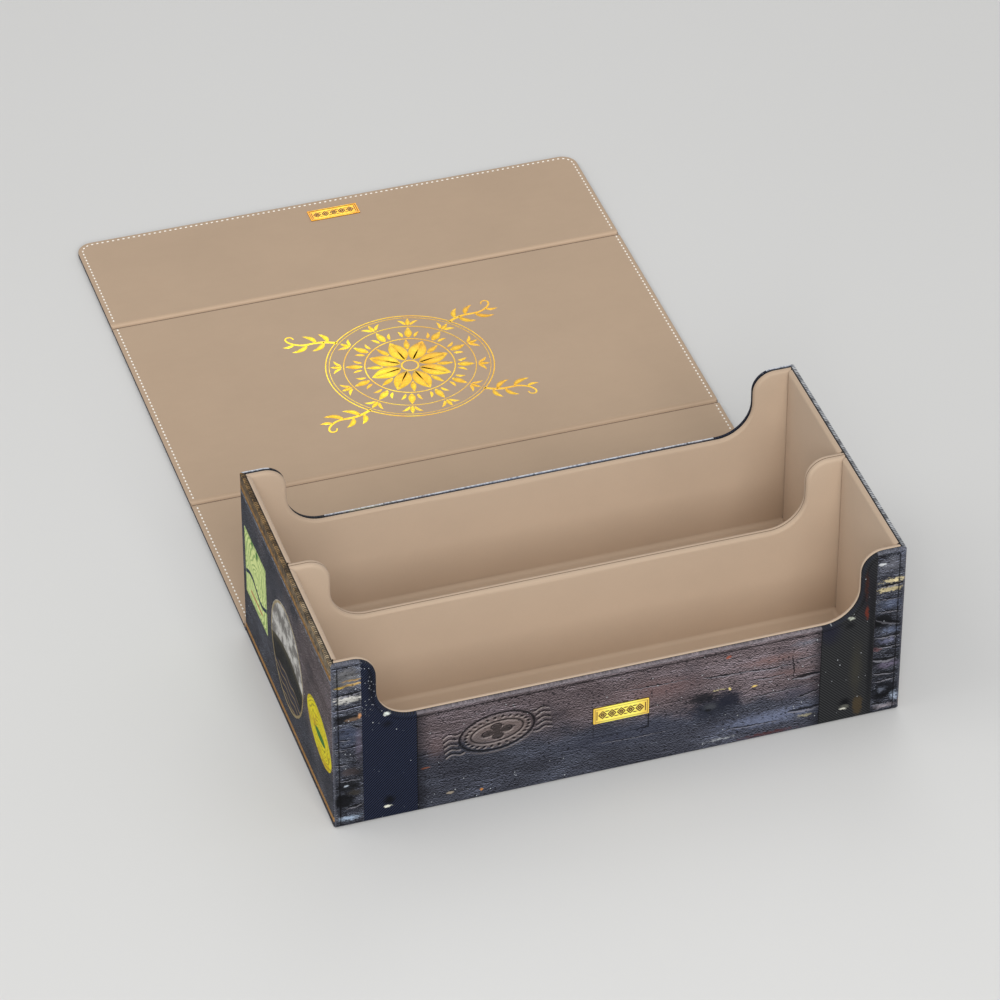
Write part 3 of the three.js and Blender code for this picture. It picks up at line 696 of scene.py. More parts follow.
def long_print(name, stains, strip_stains, band_stains, cracks, frost, amount, crest):
    """Boards, strips and twill of a long wall, its stains, pores, presses and rolled rim."""
    material, bench, shader = new_finish(name, Specular_IOR_Level=0.1)
    place, rim, press, edge = marks_of(bench)
    along, rise, wall = bench.parts(place)
    out = bench.size(along)
    shifted = bench.vector(bench.plus(along, bench.times(wall, 0.37)), rise, wall)
    warmth = bench.step(bench.plus(rise, bench.times(along, 0.07)), 0.014, 0.042, 0.05, 0.8)
    light = bench.times(
        bench.step(along, -0.07, 0.09, 0.7, 1.02), bench.step(rise, 0.018, 0.052, 0.77, 0.95))
    murk = bench.times(
        bench.step(rise, 0.045, 0.09, 0.46, 0.92), bench.step(along, -0.1, 0.1, 1.0, 0.7))
    middle = bench.group(PLANKS, {"Place": shifted, "Warmth": warmth, "Light": light, "Wear": 0.15,
                                  "Boards": 0.0335, "Split": 0.5})
    fine_grained = bench.squeezed(shifted, 1.8)
    border = bench.group(PLANKS, {"Place": fine_grained, "Warmth": 0.0, "Light": murk,
                                  "Wear": 0.42, "Boards": 0.024})
    spot = shaken(bench, shaken(bench, place), 0.0013, 0.0018)
    grit = bench.times(
        bench.plus(bench.noise(bench.squeezed(place, 0.6), 0.0013, 5.0, 0.75), -0.44), 2.4)
    wood = stained(bench, spot, grit, middle["Color"], stains)
    strip = stained(bench, spot, grit, border["Color"], strip_stains)
    uneven = bench.noise(bench.squeezed(place, 0.35), 0.0042, 5.0, 0.72)
    strip = bench.grown(strip, bench.step(uneven, 0.36, 0.64, 0.55, 1.3))
    outer = bench.step(out, 0.1262, 0.1265)
    wood = cracked(bench, spot, bench.mix(outer, wood, strip), cracks)
    shadow = bench.times(bench.step(out, 0.0925, 0.1005, 0.0, 0.75), bench.rest(outer))
    wood = bench.mix(shadow, wood, "0f1017")
    cloth, twill, rib = bands_of_twill(bench, along, rise)
    cloth = stained(bench, spot, grit, cloth, band_stains)
    colour = bench.mix(twill, wood, cloth)
    colour = bench.grown(colour, bench.plus(1.0, bench.times(rib, 0.06)))
    seam = between(bench, out, 0.0997, 0.10015, 0.00015)
    colour = bench.mix(bench.times(seam, 0.8), colour, "08090c")
    flecks = flecked(bench, place, 0.0036, 0.1, 0.6)
    plain = bench.rest(bench.times(twill, 0.5))
    colour = bench.mix(bench.times(flecks, 0.8, bench.step(grit, 0.05, 0.1)), colour, "c3c8cc")
    pores = flecked(bench, bench.squeezed(place, 0.7), 0.0017, 0.3, 0.5)
    pores = bench.times(pores, bench.rest(twill), bench.step(grit, -0.2, 0.1, 0.3, 0.8))
    colour = bench.mix(pores, colour, "121218")
    chips = flecked(bench, place, 0.0013, 0.22, 0.75)
    worn = bench.times(
        between(bench, along, -0.1265, -0.1185, 0.0015), bench.step(rise, 0.062, 0.072))
    colour = bench.mix(bench.times(chips, worn, 0.8), colour, "b9bec4")
    # Pressed lines: painted near black in the groove, as painted shade, and pale along the lower
    # lip, a painted highlight.
    press = bench.times(press, plain)
    colour = bench.mix(bench.times(bench.calc("MAXIMUM", press, 0.0), 0.93), colour, "0a0a0d")
    colour = bench.mix(
        bench.times(bench.calc("MAXIMUM", bench.times(press, -1.0), 0.0), 0.62), colour, "b3a7a2")
    crest = bench.mix(bench.times(bench.step(out, 0.1255, 0.127), 0.75), crest, "565b66")
    crest = bench.grown(bench.mix(twill, crest, "23262f"), bench.step(grit, -0.1, 0.4, 0.78, 1.2))
    colour = bench.mix(bench.times(edge, 0.62), colour, crest)
    rubs = bench.times(amount, bench.rest(bench.times(twill, 0.6)))
    colour, grain = rolled_rim(bench, place, rim, edge, colour, frost, rubs)
    relief = bench.times(bench.mix(outer, middle["Height"], border["Height"]), bench.rest(twill))
    relief = bench.plus(relief, bench.times(rib, twill, 0.12), bench.times(grain["Height"], 0.15))
    dress(bench, shader, colour, middle["Roughness"], relief, 0.0004, 1.0)
    return material


BACK_BAND_STAINS = [
    (-114, 8, 4, 2, "e0e0d4", 0.9, 0.4, 0.5), (113, 8, 4, 2, "e0e0d4", 0.9, 0.4, 0.5)]
PRINT_FRONT = long_print("printed_boards_front", MIDDLE_STAINS, STRIP_STAINS, BAND_STAINS,
                         FRONT_CRACKS, "a5a7b2", 0.24, "817b80")
PRINT_BACK = long_print("printed_boards_back", BACK_STAINS[:9], BACK_STAINS[9:], BACK_BAND_STAINS,
                        BACK_CRACKS, "dfe3ea", 0.66, "7c818c")

# %% [markdown]
# The end walls have a dark rail along the top, a thin strip of worn golden wood below it
# and another at the foot. The left one also carries three printed labels. They are plain
# ornament: rings and leaves on green, a pale moon over dark water, and a leaf on yellow.

# %% Labels of the left wall
def off_from(bench, spot, along, rise):
    """The place measured from a middle given in millimetres: a vector and its two parts."""
    off = bench.scaled(bench.way("SUBTRACT", spot, (along / 1000, rise / 1000, 0)), (1, 1, 0))
    u, v, _ = bench.parts(off)
    return off, u, v


def ringed(bench, off, squash, wobble, pitch):
    """Fine rings about a middle: the sine of the distance, pushed about by noise."""
    far = bench.length(bench.scaled(off, squash))
    return bench.wave(bench.plus(far, bench.times(wobble, 0.009)), pitch)


def green_label(bench, spot, wobble, colour):
    """Lime paper with contour rings, leaves above, a navy wave and a thin red bar."""
    off, u, v = off_from(bench, spot, -52.3, 50)
    inside = bench.calc("MINIMUM", bench.calc("SUBTRACT", 0.0187, bench.size(u)),
                        bench.calc("SUBTRACT", 0.020, bench.size(v)))
    rings = ringed(bench, off, (1.0, 0.7, 0.0), wobble, 0.0026)
    paper = bench.mix(bench.step(rings, 0.0, 0.9, 0.0, 0.75), "dbe79c", "7da557")
    leafy = bench.cell(bench.scaled(spot, (1.0, 0.6, 0.0)), 0.0068)
    leaves = bench.times(bench.step(leafy, 0.2, 0.3, 0.9, 0.0), bench.step(v, 0.002, 0.004))
    paper = bench.mix(leaves, paper, "1f6a2b")
    bow = bench.plus(v, 0.0062, bench.times(bench.calc("SINE", bench.times(u, 190.0)), 0.0026))
    paper = bench.mix(between(bench, bow, -0.0012, 0.0012), paper, "182c42")
    bar = bench.times(between(bench, v, -0.0146, -0.0132), between(bench, u, -0.010, 0.010))
    paper = bench.mix(bench.times(bar, 0.85), paper, "bb4a33")
    paper = bench.mix(between(bench, inside, 0.0007, 0.0013, 0.0002), paper, "7c9a57")
    return bench.mix(bench.step(inside, -0.0001, 0.0003), colour, paper)


def grey_label(bench, spot, grit, colour):
    """A worn badge: a pale mottled moon over a dark band and dark water, in a thin gold line."""
    off, u, v = off_from(bench, spot, 1.0, 43)
    far = bench.length(bench.way("DIVIDE", off, (0.0275, 0.030, 1.0)))
    mottle = bench.noise(spot, 0.008, 5.0, 0.65)
    moon = bench.mix(bench.step(mottle, 0.42, 0.6), "75726f", "cac8c4")
    horizon = bench.plus(v, bench.times(u, u, 9.0))
    ripple = bench.times(bench.calc("SINE", bench.times(u, 420.0)), 0.0007)
    water = bench.wave(bench.plus(v, ripple), 0.0045)
    sea = bench.mix(bench.step(water, 0.75, 0.98, 0.0, 0.75), "2c2c38", "a0895c")
    badge = bench.mix(bench.step(horizon, -0.011, -0.0095), sea, "121214")
    badge = bench.mix(bench.step(horizon, -0.002, 0.006), badge, "4b4737")
    badge = bench.mix(bench.step(horizon, 0.0035, 0.0045), badge, moon)
    line = between(bench, far, 0.94, 0.985, 0.01)
    badge = bench.mix(bench.times(line, bench.step(grit, 0.1, 0.3, 0.4, 1.0)), badge, "9d8c66")
    return bench.mix(bench.step(far, 0.985, 1.0, 1.0, 0.0), colour, badge)


def yellow_label(bench, spot, wobble, colour):
    """A slanted yellow oval with brown rings and one green leaf."""
    off, u, v = off_from(bench, spot, 55, 41)
    turned = bench.vector(bench.weigh((u, 0.94), (v, -0.34)), bench.weigh((u, 0.34), (v, 0.94)))
    far = bench.length(bench.way("DIVIDE", turned, (0.0205, 0.0132, 1.0)))
    rings = ringed(bench, turned, (0.66, 1.0, 0.0), wobble, 0.0019)
    paper = bench.mix(bench.step(rings, 0.2, 0.95, 0.0, 0.7), "e2d41c", "877c15")
    paper = bench.mix(bench.step(wobble, 0.52, 0.66, 0.0, 0.5), paper, "b07a1c")
    beside = bench.way("SUBTRACT", off, (0.0015, -0.001, 0.0))
    leaf_far = bench.length(bench.way("DIVIDE", beside, (0.0085, 0.0026, 1.0)))
    paper = bench.mix(bench.step(leaf_far, 0.9, 1.05, 0.95, 0.0), paper, "136a2c")
    return bench.mix(bench.step(far, 0.985, 1.01, 1.0, 0.0), colour, paper)

# %% Finish: printed leather of the end walls
def end_print(name, frost, labelled):
    """Fine-grained boards, a top rail, two golden strips and, at the left, the labels."""
    material, bench, shader = new_finish(name, Specular_IOR_Level=0.1)
    place, rim, _, edge = marks_of(bench)
    along, rise, wall = bench.parts(place)
    shifted = bench.vector(bench.plus(along, bench.times(wall, 0.37)), rise, wall)
    warmth = bench.times(
        bench.step(along, -0.03, 0.07, 0.35, 0.9), bench.step(rise, 0.02, 0.05, 0.3, 1.0))
    light = bench.step(rise, 0.01, 0.07, 0.57, 0.58)
    wood = bench.group(PLANKS, {"Place": shifted, "Warmth": warmth, "Light": light, "Wear": 0.1,
                                "Boards": 0.031, "Split": 0.3})
    spot = shaken(bench, place, 0.0008, 0.004)
    wobble = bench.noise(place, 0.009, 3.0, 0.5)
    grit = bench.plus(bench.noise(bench.squeezed(place, 0.5), 0.0012, 5.0, 0.75), -0.25)
    ribs = bench.wave(along, 0.0019)
    patchy = bench.step(
        bench.noise(bench.squeezed(place, 0.7), 0.0018, 5.0, 0.75), 0.36, 0.64, 0.74, 1.24)
    colour = bench.grown(
        wood["Color"], bench.times(patchy, bench.plus(1.0, bench.times(ribs, 0.16))))
    if labelled:
        colour = green_label(bench, spot, wobble, colour)
        colour = grey_label(bench, spot, grit, colour)
        colour = yellow_label(bench, spot, wobble, colour)
    level = bench.parts(spot)[1]
    slanted = bench.plus(along, bench.times(rise, 0.6), bench.times(wobble, 0.0012))
    hatch = bench.wave(slanted, 0.0013)
    sparse = bench.step(bench.noise(place, 0.005, 5.0, 0.7), 0.38, 0.66, 0.15, 1.0)
    worn = bench.times(bench.step(hatch, -0.3, 0.9, 0.15, 1.0), sparse)
    pale = bench.mix(bench.step(along, -0.02, 0.06), "a3845a", "c4b193")
    rail = bench.mix(worn, "28211b" if labelled else "44464a", pale if labelled else "dcdfe3")
    colour = bench.mix(bench.step(level, 0.0922, 0.0928), colour, rail)
    strip = bench.spectrum(grit, (0.08, "34240f"), (0.24, "84602f"), (0.45, "c49a5c"))
    colour = bench.mix(between(bench, level, 0.0893, 0.0924), colour, strip)
    chalk = bench.times(
        between(bench, level, 0.0872, 0.0889, 0.0004), bench.step(grit, 0.2, 0.36, 0.0, 0.8))
    colour = bench.mix(chalk, colour, "8f9aa8")
    colour = bench.mix(
        between(bench, level, 0.0036, 0.0064), colour, bench.mix(0.35, strip, "c08c50"))
    foot = bench.mix(bench.step(grit, 0.3, 0.45), "24242a", "8390a2")
    colour = bench.mix(bench.step(level, 0.0028, 0.0034, 1.0, 0.0), colour, foot)
    flecks = flecked(bench, place, 0.005, 0.09, 0.3)
    colour = bench.mix(bench.times(flecks, 0.7), colour, "b9bec4")
    rubbed = bench.mix(bench.step(level, 0.088, 0.094), "8f98a8", frost)
    colour, grain = rolled_rim(bench, place, rim, edge, colour, rubbed, 0.42)
    relief = bench.plus(wood["Height"], bench.times(grain["Height"], 0.15))
    dress(bench, shader, colour, wood["Roughness"], relief, 0.0004, 1.0)
    return material


PRINT_LEFT = end_print("printed_boards_left", "b08d5e", True)
PRINT_RIGHT = end_print("printed_boards_right", "b7bfcd", False)

# %% Finish: tan microfibre of the linings
def suede(name, tone):
    """Microfibre lining: a drifting tone and a fine nap, with painted shade on its round rims, a
    painted highlight on the crease shoulders and painted shade in the divider's seam.
    """
    material, bench, shader = new_finish(
        name, Roughness=0.85, Specular_IOR_Level=0.25, Sheen_Weight=0.12, Sheen_Roughness=0.5)
    place = bench.object_place()
    nap = bench.group(NAP, {"Place": place, "Tone": tone, "Drift": 0.09})
    _, rim, press, seam = marks_of(bench)
    # Round rims painted darker, as painted shade that holds back the light their tops catch.
    colour = bench.mix(bench.times(rim, 0.36), nap["Color"], "987f69")
    # Crease shoulders painted pale, a painted highlight.
    colour = bench.mix(bench.times(press, 0.34), colour, "e0c6ac")
    # The divider's seam painted dark, as painted shade between its two linings.
    colour = bench.mix(seam, colour, "715a48")
    dress(bench, shader, colour, None, nap["Height"], 0.00006, 0.5)
    return material


SUEDE = suede("tan_microfibre", "b59d85")
# The linings inside the tray are the same cloth painted paler and greyer, a lit copy that makes up
# for the shade and warm bounce in the compartments.
SUEDE_LIGHTENED_INSIDE = suede("tan_microfibre_lightened_inside", "c3ae98")
# In the folds the same cloth is painted dark, as painted shade at the bottom of each crease.
SUEDE_SHADED_FOLD = suede("tan_microfibre_shaded_in_folds", "7f6a57")

# %% Finish: navy leather under the cover, sewing thread, gilt metal and foil
def cover_print(name, marked):
    """The cover's leather: planks across it, bands of twill, a dark rubbed edge and painted shade
    in its seam channel.
    """
    material, bench, shader = new_finish(name, Specular_IOR_Level=0.1)
    place, rim, press, edge = marks_of(bench)
    if not marked:
        place = bench.object_place()
    along, rise, _ = bench.parts(place)
    wood = bench.group(PLANKS, {"Place": place, "Warmth": 0.35, "Wear": 0.3, "Boards": 0.0335})
    cloth, twill, _ = bands_of_twill(bench, along, rise)
    colour = bench.mix(twill, wood["Color"], cloth)
    grain = bench.group(LEATHER_GRAIN, {"Place": place, "Pebble": 0.001})
    side = bench.mix(grain["Pore"], "1c1f29", "0b0c11")
    rubbed = bench.group(RUBBED, {"Place": place, "Edge": edge, "Amount": 0.6, "Patch": 0.0014})
    side = bench.mix(bench.times(rubbed["Mask"], 0.8), side, "6f7f96")
    colour = bench.mix(rim, colour, side)
    # Painted shade in the sunk seam channel.
    colour = bench.mix(bench.times(press, 0.6), colour, "0f0f13")
    relief = bench.weigh((wood["Height"], 0.7), (grain["Height"], 0.5))
    dress(bench, shader, colour, wood["Roughness"], relief, 0.0002, 0.8)
    return material


COVER = cover_print("cover_leather", True)
BASE = cover_print("base_leather", False)

material, bench, shader = new_finish("sewing_thread", Roughness=0.7, Specular_IOR_Level=0.3)
place = bench.object_place()
twist = bench.noise(place, 0.0004, 2.0)
colour = bench.mix(bench.step(twist, 0.3, 0.6), "f6ecdc", "fffdf6")
dress(bench, shader, colour, None, twist, 0.00005, 0.6)
THREAD = material


def gilt(name, bright, dull, metal, end_reflection):
    """Stamped brass: finely brushed, duller in patches, painted orange toward both ends as a
    painted reflection, with dark enamel in its pattern and painted shade on its sides and at its
    border's step.
    """
    material, bench, shader = new_finish(name, Metallic=metal, Coat_Weight=0.3)
    place = bench.object_place()
    brushed = bench.noise(bench.squeezed(place, 0.06), 0.0004, 4.0, 0.6)
    tarnish = bench.noise(place, 0.006, 4.0, 0.6)
    colour = bench.mix(bench.step(tarnish, 0.35, 0.75), bright, dull)
    # Both ends painted orange, a painted reflection of less light toward the plate's ends.
    ends = bench.step(bench.size(bench.parts(place)[0]), 0.006, 0.0138, 0.0, end_reflection)
    colour = bench.mix(ends, colour, "dd8c22")
    # Dark enamel on the pattern, and painted shade on the plate's sides and at its border's step.
    colour = bench.mix(marks_of(bench)[2], colour, "5b370c")
    dress(bench, shader, colour, bench.step(brushed, 0.2, 0.8, 0.16, 0.32), brushed, 0.00003, 0.35)
    return material


# One brass on both plates in two copies: the front's is painted pale lemon and nearly without
# metal, a lit copy; the flap's is deeper orange and metallic.
GILT = {"front_plate": gilt("gilt_front_lightened", "fff468", "ffea5c", 0.14, 0.5),
        "flap_plate": gilt("gilt_flap", "fbc83c", "eeaa28", 0.9, 0.6)}

material, bench, shader = new_finish("gold_foil", Metallic=0.85)
place = bench.object_place()
patches = bench.noise(place, 0.02, 4.0, 0.6)
crackle = bench.noise(place, 0.0012, 4.0, 0.7)
colour = bench.mix(bench.step(patches, 0.35, 0.7), "ffe33c", "f0b733")
# Toward the right the foil is drawn more orange and duller.
duller_right = bench.step(
    bench.plus(bench.parts(place)[0], bench.times(patches, 0.03)), -0.03, 0.05, 0.0, 0.7)
colour = bench.mix(duller_right, colour, "cf9a34")
colour = bench.mix(bench.step(crackle, 0.62, 0.72, 0.0, 0.6), colour, "b08a56")
dress(bench, shader, colour, bench.step(crackle, 0.3, 0.7, 0.25, 0.5), crackle, 0.00003, 0.5)
FOIL = material

# %% Finish: grey board and magnets, which show only at cut edges
material, bench, shader = new_finish("grey_board", Roughness=0.92)
place = bench.object_place()
pulp = bench.noise(bench.scaled(place, (1.0, 1.0, 5.0)), 0.0016, 5.0, 0.7)
colour = bench.mix(pulp, "6f685e", "9a9184")
dress(bench, shader, colour, None, pulp, 0.0001, 0.5)
BOARD = material
material, bench, shader = new_finish("nickel_magnet", Metallic=1.0)
place = bench.object_place()
plating = bench.noise(place, 0.003, 4.0)
colour = bench.mix(plating, "8f9296", "b4b6b8")
dress(bench, shader, colour, bench.step(plating, 0.3, 0.7, 0.28, 0.42), plating, 0.00002, 0.3)
MAGNET = material
UNDER_FINISHES = [("magnet", MAGNET), ("board", BOARD), ("cover", BASE), ("", SUEDE)]
for name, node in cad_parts.items():
    node.material_slots[0].material = next(f for word, f in UNDER_FINISHES if word in name)
print("finishes", len(bpy.data.materials))

# %% [markdown]
# The front and back walls are scooped: a tall horn at each end, rounded at its top, and a
# low level rim between them. The line of that top edge is the one shape that every layer
# of the wall follows, so it is worked out once, as points and the direction that leads
# straight into the wall at each. Moving along that direction gives the same line drawn in
# by any amount.

# %% The top line of a scooped wall
def scooped_top(level, horn, drawn, rim):
    """Points, inward directions and feet of the scooped line, from left to right.

    Level parts keep their height. The horn's corner is a quarter circle about a centre
    inside the horn, and its foot is a quarter circle about a centre in the open scoop, so
    there inward means away from the centre. Each column's foot is straight below the line
    drawn in by the given amount, but for the horn's corner, whose feet are spread out to
    the outer side, so that no two columns cross.
    """
    turn = np.linspace(0, np.pi / 2, 17)
    horn_x, horn_z = SCOOP_EDGE + HORN_ROUND, HEIGHT - HORN_ROUND
    hollow_x, hollow_z = SCOOP_EDGE - SCOOP_ROUND, rim + SCOOP_ROUND
    a, b = turn - np.pi / 2, np.pi - turn
    hollow = np.column_stack(
        [hollow_x + SCOOP_ROUND * np.cos(a), hollow_z + SCOOP_ROUND * np.sin(a)])
    rise = np.linspace(hollow_z, horn_z, 6)[1:-1]
    drop = np.column_stack([np.full(4, SCOOP_EDGE), rise])
    crown = np.column_stack([horn_x + HORN_ROUND * np.cos(b), horn_z + HORN_ROUND * np.sin(b)])
    flat = np.column_stack([horn, np.full(len(horn), HEIGHT)])
    points = np.concatenate([hollow, drop, crown, flat])
    inward = np.concatenate([
        np.column_stack([np.cos(a), np.sin(a)]),
        np.tile([1.0, 0.0], (4, 1)),
        -np.column_stack([np.cos(b), np.sin(b)]),
        np.tile([0.0, -1.0], (len(horn), 1)),
    ])
    corner = len(hollow) + 4 + len(crown)
    start = len(hollow) - 1
    run = np.concatenate([[0.0], np.cumsum(np.hypot(*np.diff(points[start:corner], axis=0).T))])
    first = SCOOP_EDGE + drawn
    feet = np.concatenate(
        [hollow[:-1, 0] + drawn * np.cos(a[:-1]), first + run / run[-1] * (horn_x - first), horn])
    middle = np.column_stack([level, np.full(len(level), rim)])
    return (
        np.concatenate([points[::-1] * [-1, 1], middle, points]),
        np.concatenate([inward[::-1] * [-1, 1], np.tile([0.0, -1.0], (len(level), 1)), inward]),
        np.concatenate([-feet[::-1], level, feet]),
    )


def straight_top(along):
    """The same three for a plain wall: a level line at the wall's height."""
    points = np.column_stack([along, np.full(len(along), HEIGHT)])
    return points, np.tile([0.0, -1.0], (len(along), 1)), along


def runs(*spans):
    """Numbers along a line: each span is start, stop and pitch, and ends meet once."""
    made = [np.linspace(a, b, max(2, int(round(abs(b - a) / pitch)) + 1)) for a, b, pitch in spans]
    return np.unique(np.round(np.concatenate(made), 4))


coarse = runs((-100, 100, 4))[1:-1]
ends = runs((130, 137, 1.5), (137, 138.4, 0.2), (138.4, 139.8, 0.5), (139.8, 141, 0.2))[1:]
print("columns over one horn", len(ends), "and over a plain scoop", len(coarse))

# %% [markdown]
# A wall's leather is one sheet: up the outside face, over the rolled rim and down behind
# the lining. Its rows are insets from the top line paired with depths into the wall. At
# each end the sheet turns half of the tray's round corner, and the next wall turns the
# other half, so the two meet on the mitre with no gap.

# %% Leather of the four walls
def quarter(steps):
    """Sine and cosine over a quarter turn."""
    angle = np.linspace(0, np.pi / 2, steps)
    return np.sin(angle), np.cos(angle)


def leather_wall(top, half, foot, rows_up, press=None):
    """The sheet of one wall: place along, depth in and height, with its marks.

    Face rows run straight from the feet to the top line drawn in by RIM_DRAWN. Rim rows follow a
    quarter circle, the flat of the rim and a smaller quarter circle down to the lining.
    Past the start of a corner a point swings about the corner's centre by up to 45
    degrees, on the radius that is left at its depth.
    """
    points, inward, feet = top
    count = len(points)
    sine, cosine = quarter(6)
    tight, loose = quarter(4)
    share = rows_up[:, None]
    rings = np.array([RIM_DRAWN, 4.2, 3.6, 3.2, 2.9, 2.7, 2.5, 2.3, 2.1, 1.8, 1.4, 1.0])
    inset = np.concatenate([rings, RIM_ROUND * (1 - sine), [0, 0, 0], 0.5 * (1 - loose), [1.6]])
    depth = np.concatenate(
        [0 * rings, RIM_ROUND * (1 - cosine), [1.1, 1.5, 1.9], 1.9 + 0.5 * tight, [RIM_WIDTH]])
    ring = points[None] + inset[:, None, None] * inward[None]
    base = np.column_stack([feet, np.full(count, foot + 0.6)])
    face = base[None] + share[..., None] * (ring[:1] - base[None])
    turned_in = foot + 0.6 * np.append(0, (1 - sine[::-1])[[0, 2, 3, 4]])
    under = np.stack(np.broadcast_arrays(feet[None], turned_in[:, None]), axis=-1)
    spot = np.concatenate([under, face[:-1], ring])
    deep = np.concatenate(
        [[RIM_WIDTH], 0.6 * (1 - cosine[::-1])[[0, 2, 3, 4]], np.zeros(len(share) - 1), depth])
    drawn_in = np.concatenate([np.full(5 + len(share) - 1, 50.0), inset])
    deep = np.broadcast_to(deep[:, None], spot.shape[:2]).copy()
    drawn_in = np.broadcast_to(drawn_in[:, None], spot.shape[:2])
    x, z = spot[..., 0], spot[..., 1]
    outside = (deep == 0)
    pressed = np.zeros_like(x) if press is None else press(x, z, drawn_in) * outside
    # The lip mark is the pale lower lip of each pressed line, a painted highlight, stored as a
    # negative press.
    lip = np.zeros_like(x)
    if press is not None:
        beside = press(x - 0.2, z + 0.5, drawn_in - 0.5) * outside
        lip = np.clip(beside - pressed, 0, 1) * (np.abs(x - ORNAMENT_X) < 32) * (z < 53)
    deep = deep + pressed
    turned = np.clip(np.abs(x) - (half - CORNER_ROUND), 0, None) / CORNER_ROUND * (np.pi / 4)
    centre, left = np.maximum(CORNER_ROUND, deep), np.maximum(CORNER_ROUND - deep, 0)
    out = np.minimum(np.abs(x), half - centre) + left * np.sin(turned)
    # rim climbs past one where the sheet turns down beside the lining; there the finish paints
    # shade.
    on_top, beside_lining = (1.5 - drawn_in) / 0.9, (deep - 1.75) / 0.3
    rim = np.clip(on_top, 0, 1) + np.clip(beside_lining, 0, 1) * (drawn_in < 2)
    edge = np.exp(-((drawn_in - 0.25) / 0.6) ** 2) * (deep < 1.2) + 0.55 * (deep >= 1.2)
    corner_edge = np.clip(1 - (half - np.abs(x)) / 1.6, 0, 1) * (drawn_in > 1)
    return {
        "x": np.sign(x) * out, "deep": centre - left * np.cos(turned), "z": z,
        "along": x, "rim": rim, "edge": np.maximum(edge, corner_edge),
        "press": np.clip(pressed / 0.3, 0, 1) - np.clip(lip / 0.3, 0, 1),
    }


def stand(wall, side):
    """Points of a wall in the row frame, seen from outside with its left end at minus x."""
    x, deep, z = wall["x"], wall["deep"], wall["z"]
    if side == "front":
        return np.stack([x, -HALF_DEPTH + deep, z], axis=-1)
    if side == "back":
        return np.stack([-x, HALF_DEPTH - deep, z], axis=-1)
    if side == "left":
        return np.stack([-HALF_LENGTH + deep, -x, z], axis=-1)
    return np.stack([HALF_LENGTH - deep, x, z], axis=-1)


def place_mark(along, rise, number):
    """A place in metres as one mark: along, up, and the number of the surface."""
    return np.stack([along, rise, np.full_like(rise, number * 1000.0)], axis=-1) * 0.001


def wall_patch(wall, side, number):
    """The patch of a wall, with its place, its rim, its edges and its presses as marks."""
    marks = {m: wall[m] for m in ("rim", "edge", "press")}
    return patch(stand(wall, side), place=place_mark(wall["along"], wall["z"], number), **marks)

# %% [markdown]
# The front carries three pressed marks: a fine line all round near the edges, a slim
# rectangle below the clasp plate, and an oval ornament at the left. The ornament is a plain
# generic one: two oval lines with beads between them, a four-leaf rosette and a few waved
# lines at each side. Its grooves are real relief, so this wall has a fine grid there.

# %% Pressed marks of the front wall
def groove(distance, width):
    """A soft groove: one on the line, falling off as a bell over its half width."""
    return np.exp(-(distance / width) ** 2)


def oval(p, q, a, b):
    """Signed distance from an oval, its value divided by the length of its slope."""
    reach = np.maximum(np.hypot(p / a, q / b), 1e-6)
    slope = np.hypot(p / a ** 2, q / b ** 2) / reach
    return (reach - 1) / np.maximum(slope, 1e-6)


def border_line(x, z, drawn_in):
    """The fine line that runs 2.5 below the rim and 3.3 in from each end, lightly dotted."""
    from_end = HALF_LENGTH - np.abs(x)
    level = groove(drawn_in - 2.5, 0.46) * (from_end > 3.2) * (0.8 + 0.2 * np.cos(x * 2.2))
    upright = groove(from_end - 3.3, 0.38) * (drawn_in > 2.4) * (0.85 + 0.15 * np.cos(z * 2.2))
    return 0.34 * np.maximum(level, upright)


def ornament(x, z):
    """The pressed oval: ovals, beads, a four-leaf rosette and waved lines at the sides."""
    cosine, sine = math.cos(math.radians(7)), math.sin(math.radians(7))
    long, short, count = 15.6, 8.2, 26
    p = (x - ORNAMENT_X) * cosine + (z - ORNAMENT_Z) * sine
    q = (z - ORNAMENT_Z) * cosine - (x - ORNAMENT_X) * sine
    angle = np.arctan2(q / short, p / long)
    beads = ((angle * count / (2 * np.pi)) % 1) - 0.5
    pace = np.hypot(long * np.sin(angle), short * np.cos(angle))
    bead = np.hypot(oval(p, q, long, short), beads * 2 * np.pi / count * pace)
    radius, leaf = np.hypot(p * 0.72, q * 1.15), np.arctan2(q * 1.15, p * 0.72)
    petal = radius - 5.2 * np.sqrt(np.abs(np.cos(2 * leaf)) + 0.02)
    wave = np.abs(((q + 0.7 * np.sin(np.abs(p) * 0.75)) / 3.0 + 0.5) % 1 - 0.5) * 3.0
    outer = oval(p, q, 18.4, 10.6)
    sides = groove(wave, 0.5) * (outer > 1.2) * (np.abs(p) < 26.5) * (np.abs(q) < 7.8)
    lines = [groove(outer, 0.75), groove(oval(p, q, 12.9, 6.0), 0.5),
             groove(np.maximum(bead - 0.5, 0), 0.32), groove(petal, 0.5) * (radius < 6.5),
             0.62 * groove(np.maximum(petal, 0), 0.3) * (radius < 5.4), sides]
    return 0.36 * np.max(lines, axis=0) * (np.abs(p) < 28) * (np.abs(q) < 12)


def front_press(x, z, drawn_in):
    """All that is pressed into the front wall, as depth in millimetres."""
    frame_line = np.maximum(np.abs(x) - 13.7, np.abs(z - 31.0) - 9.2)
    slot = 0.36 * groove(frame_line, 0.3) * (z < 31) * (0.45 + 0.55 * (x > 10))
    seat = 0.36 * (np.maximum(np.abs(x) - 13.9, np.abs(z - PLATE_ON_FRONT) - 4.75) < 0)
    return np.max([border_line(x, z, drawn_in), ornament(x, z), slot, seat], axis=0)


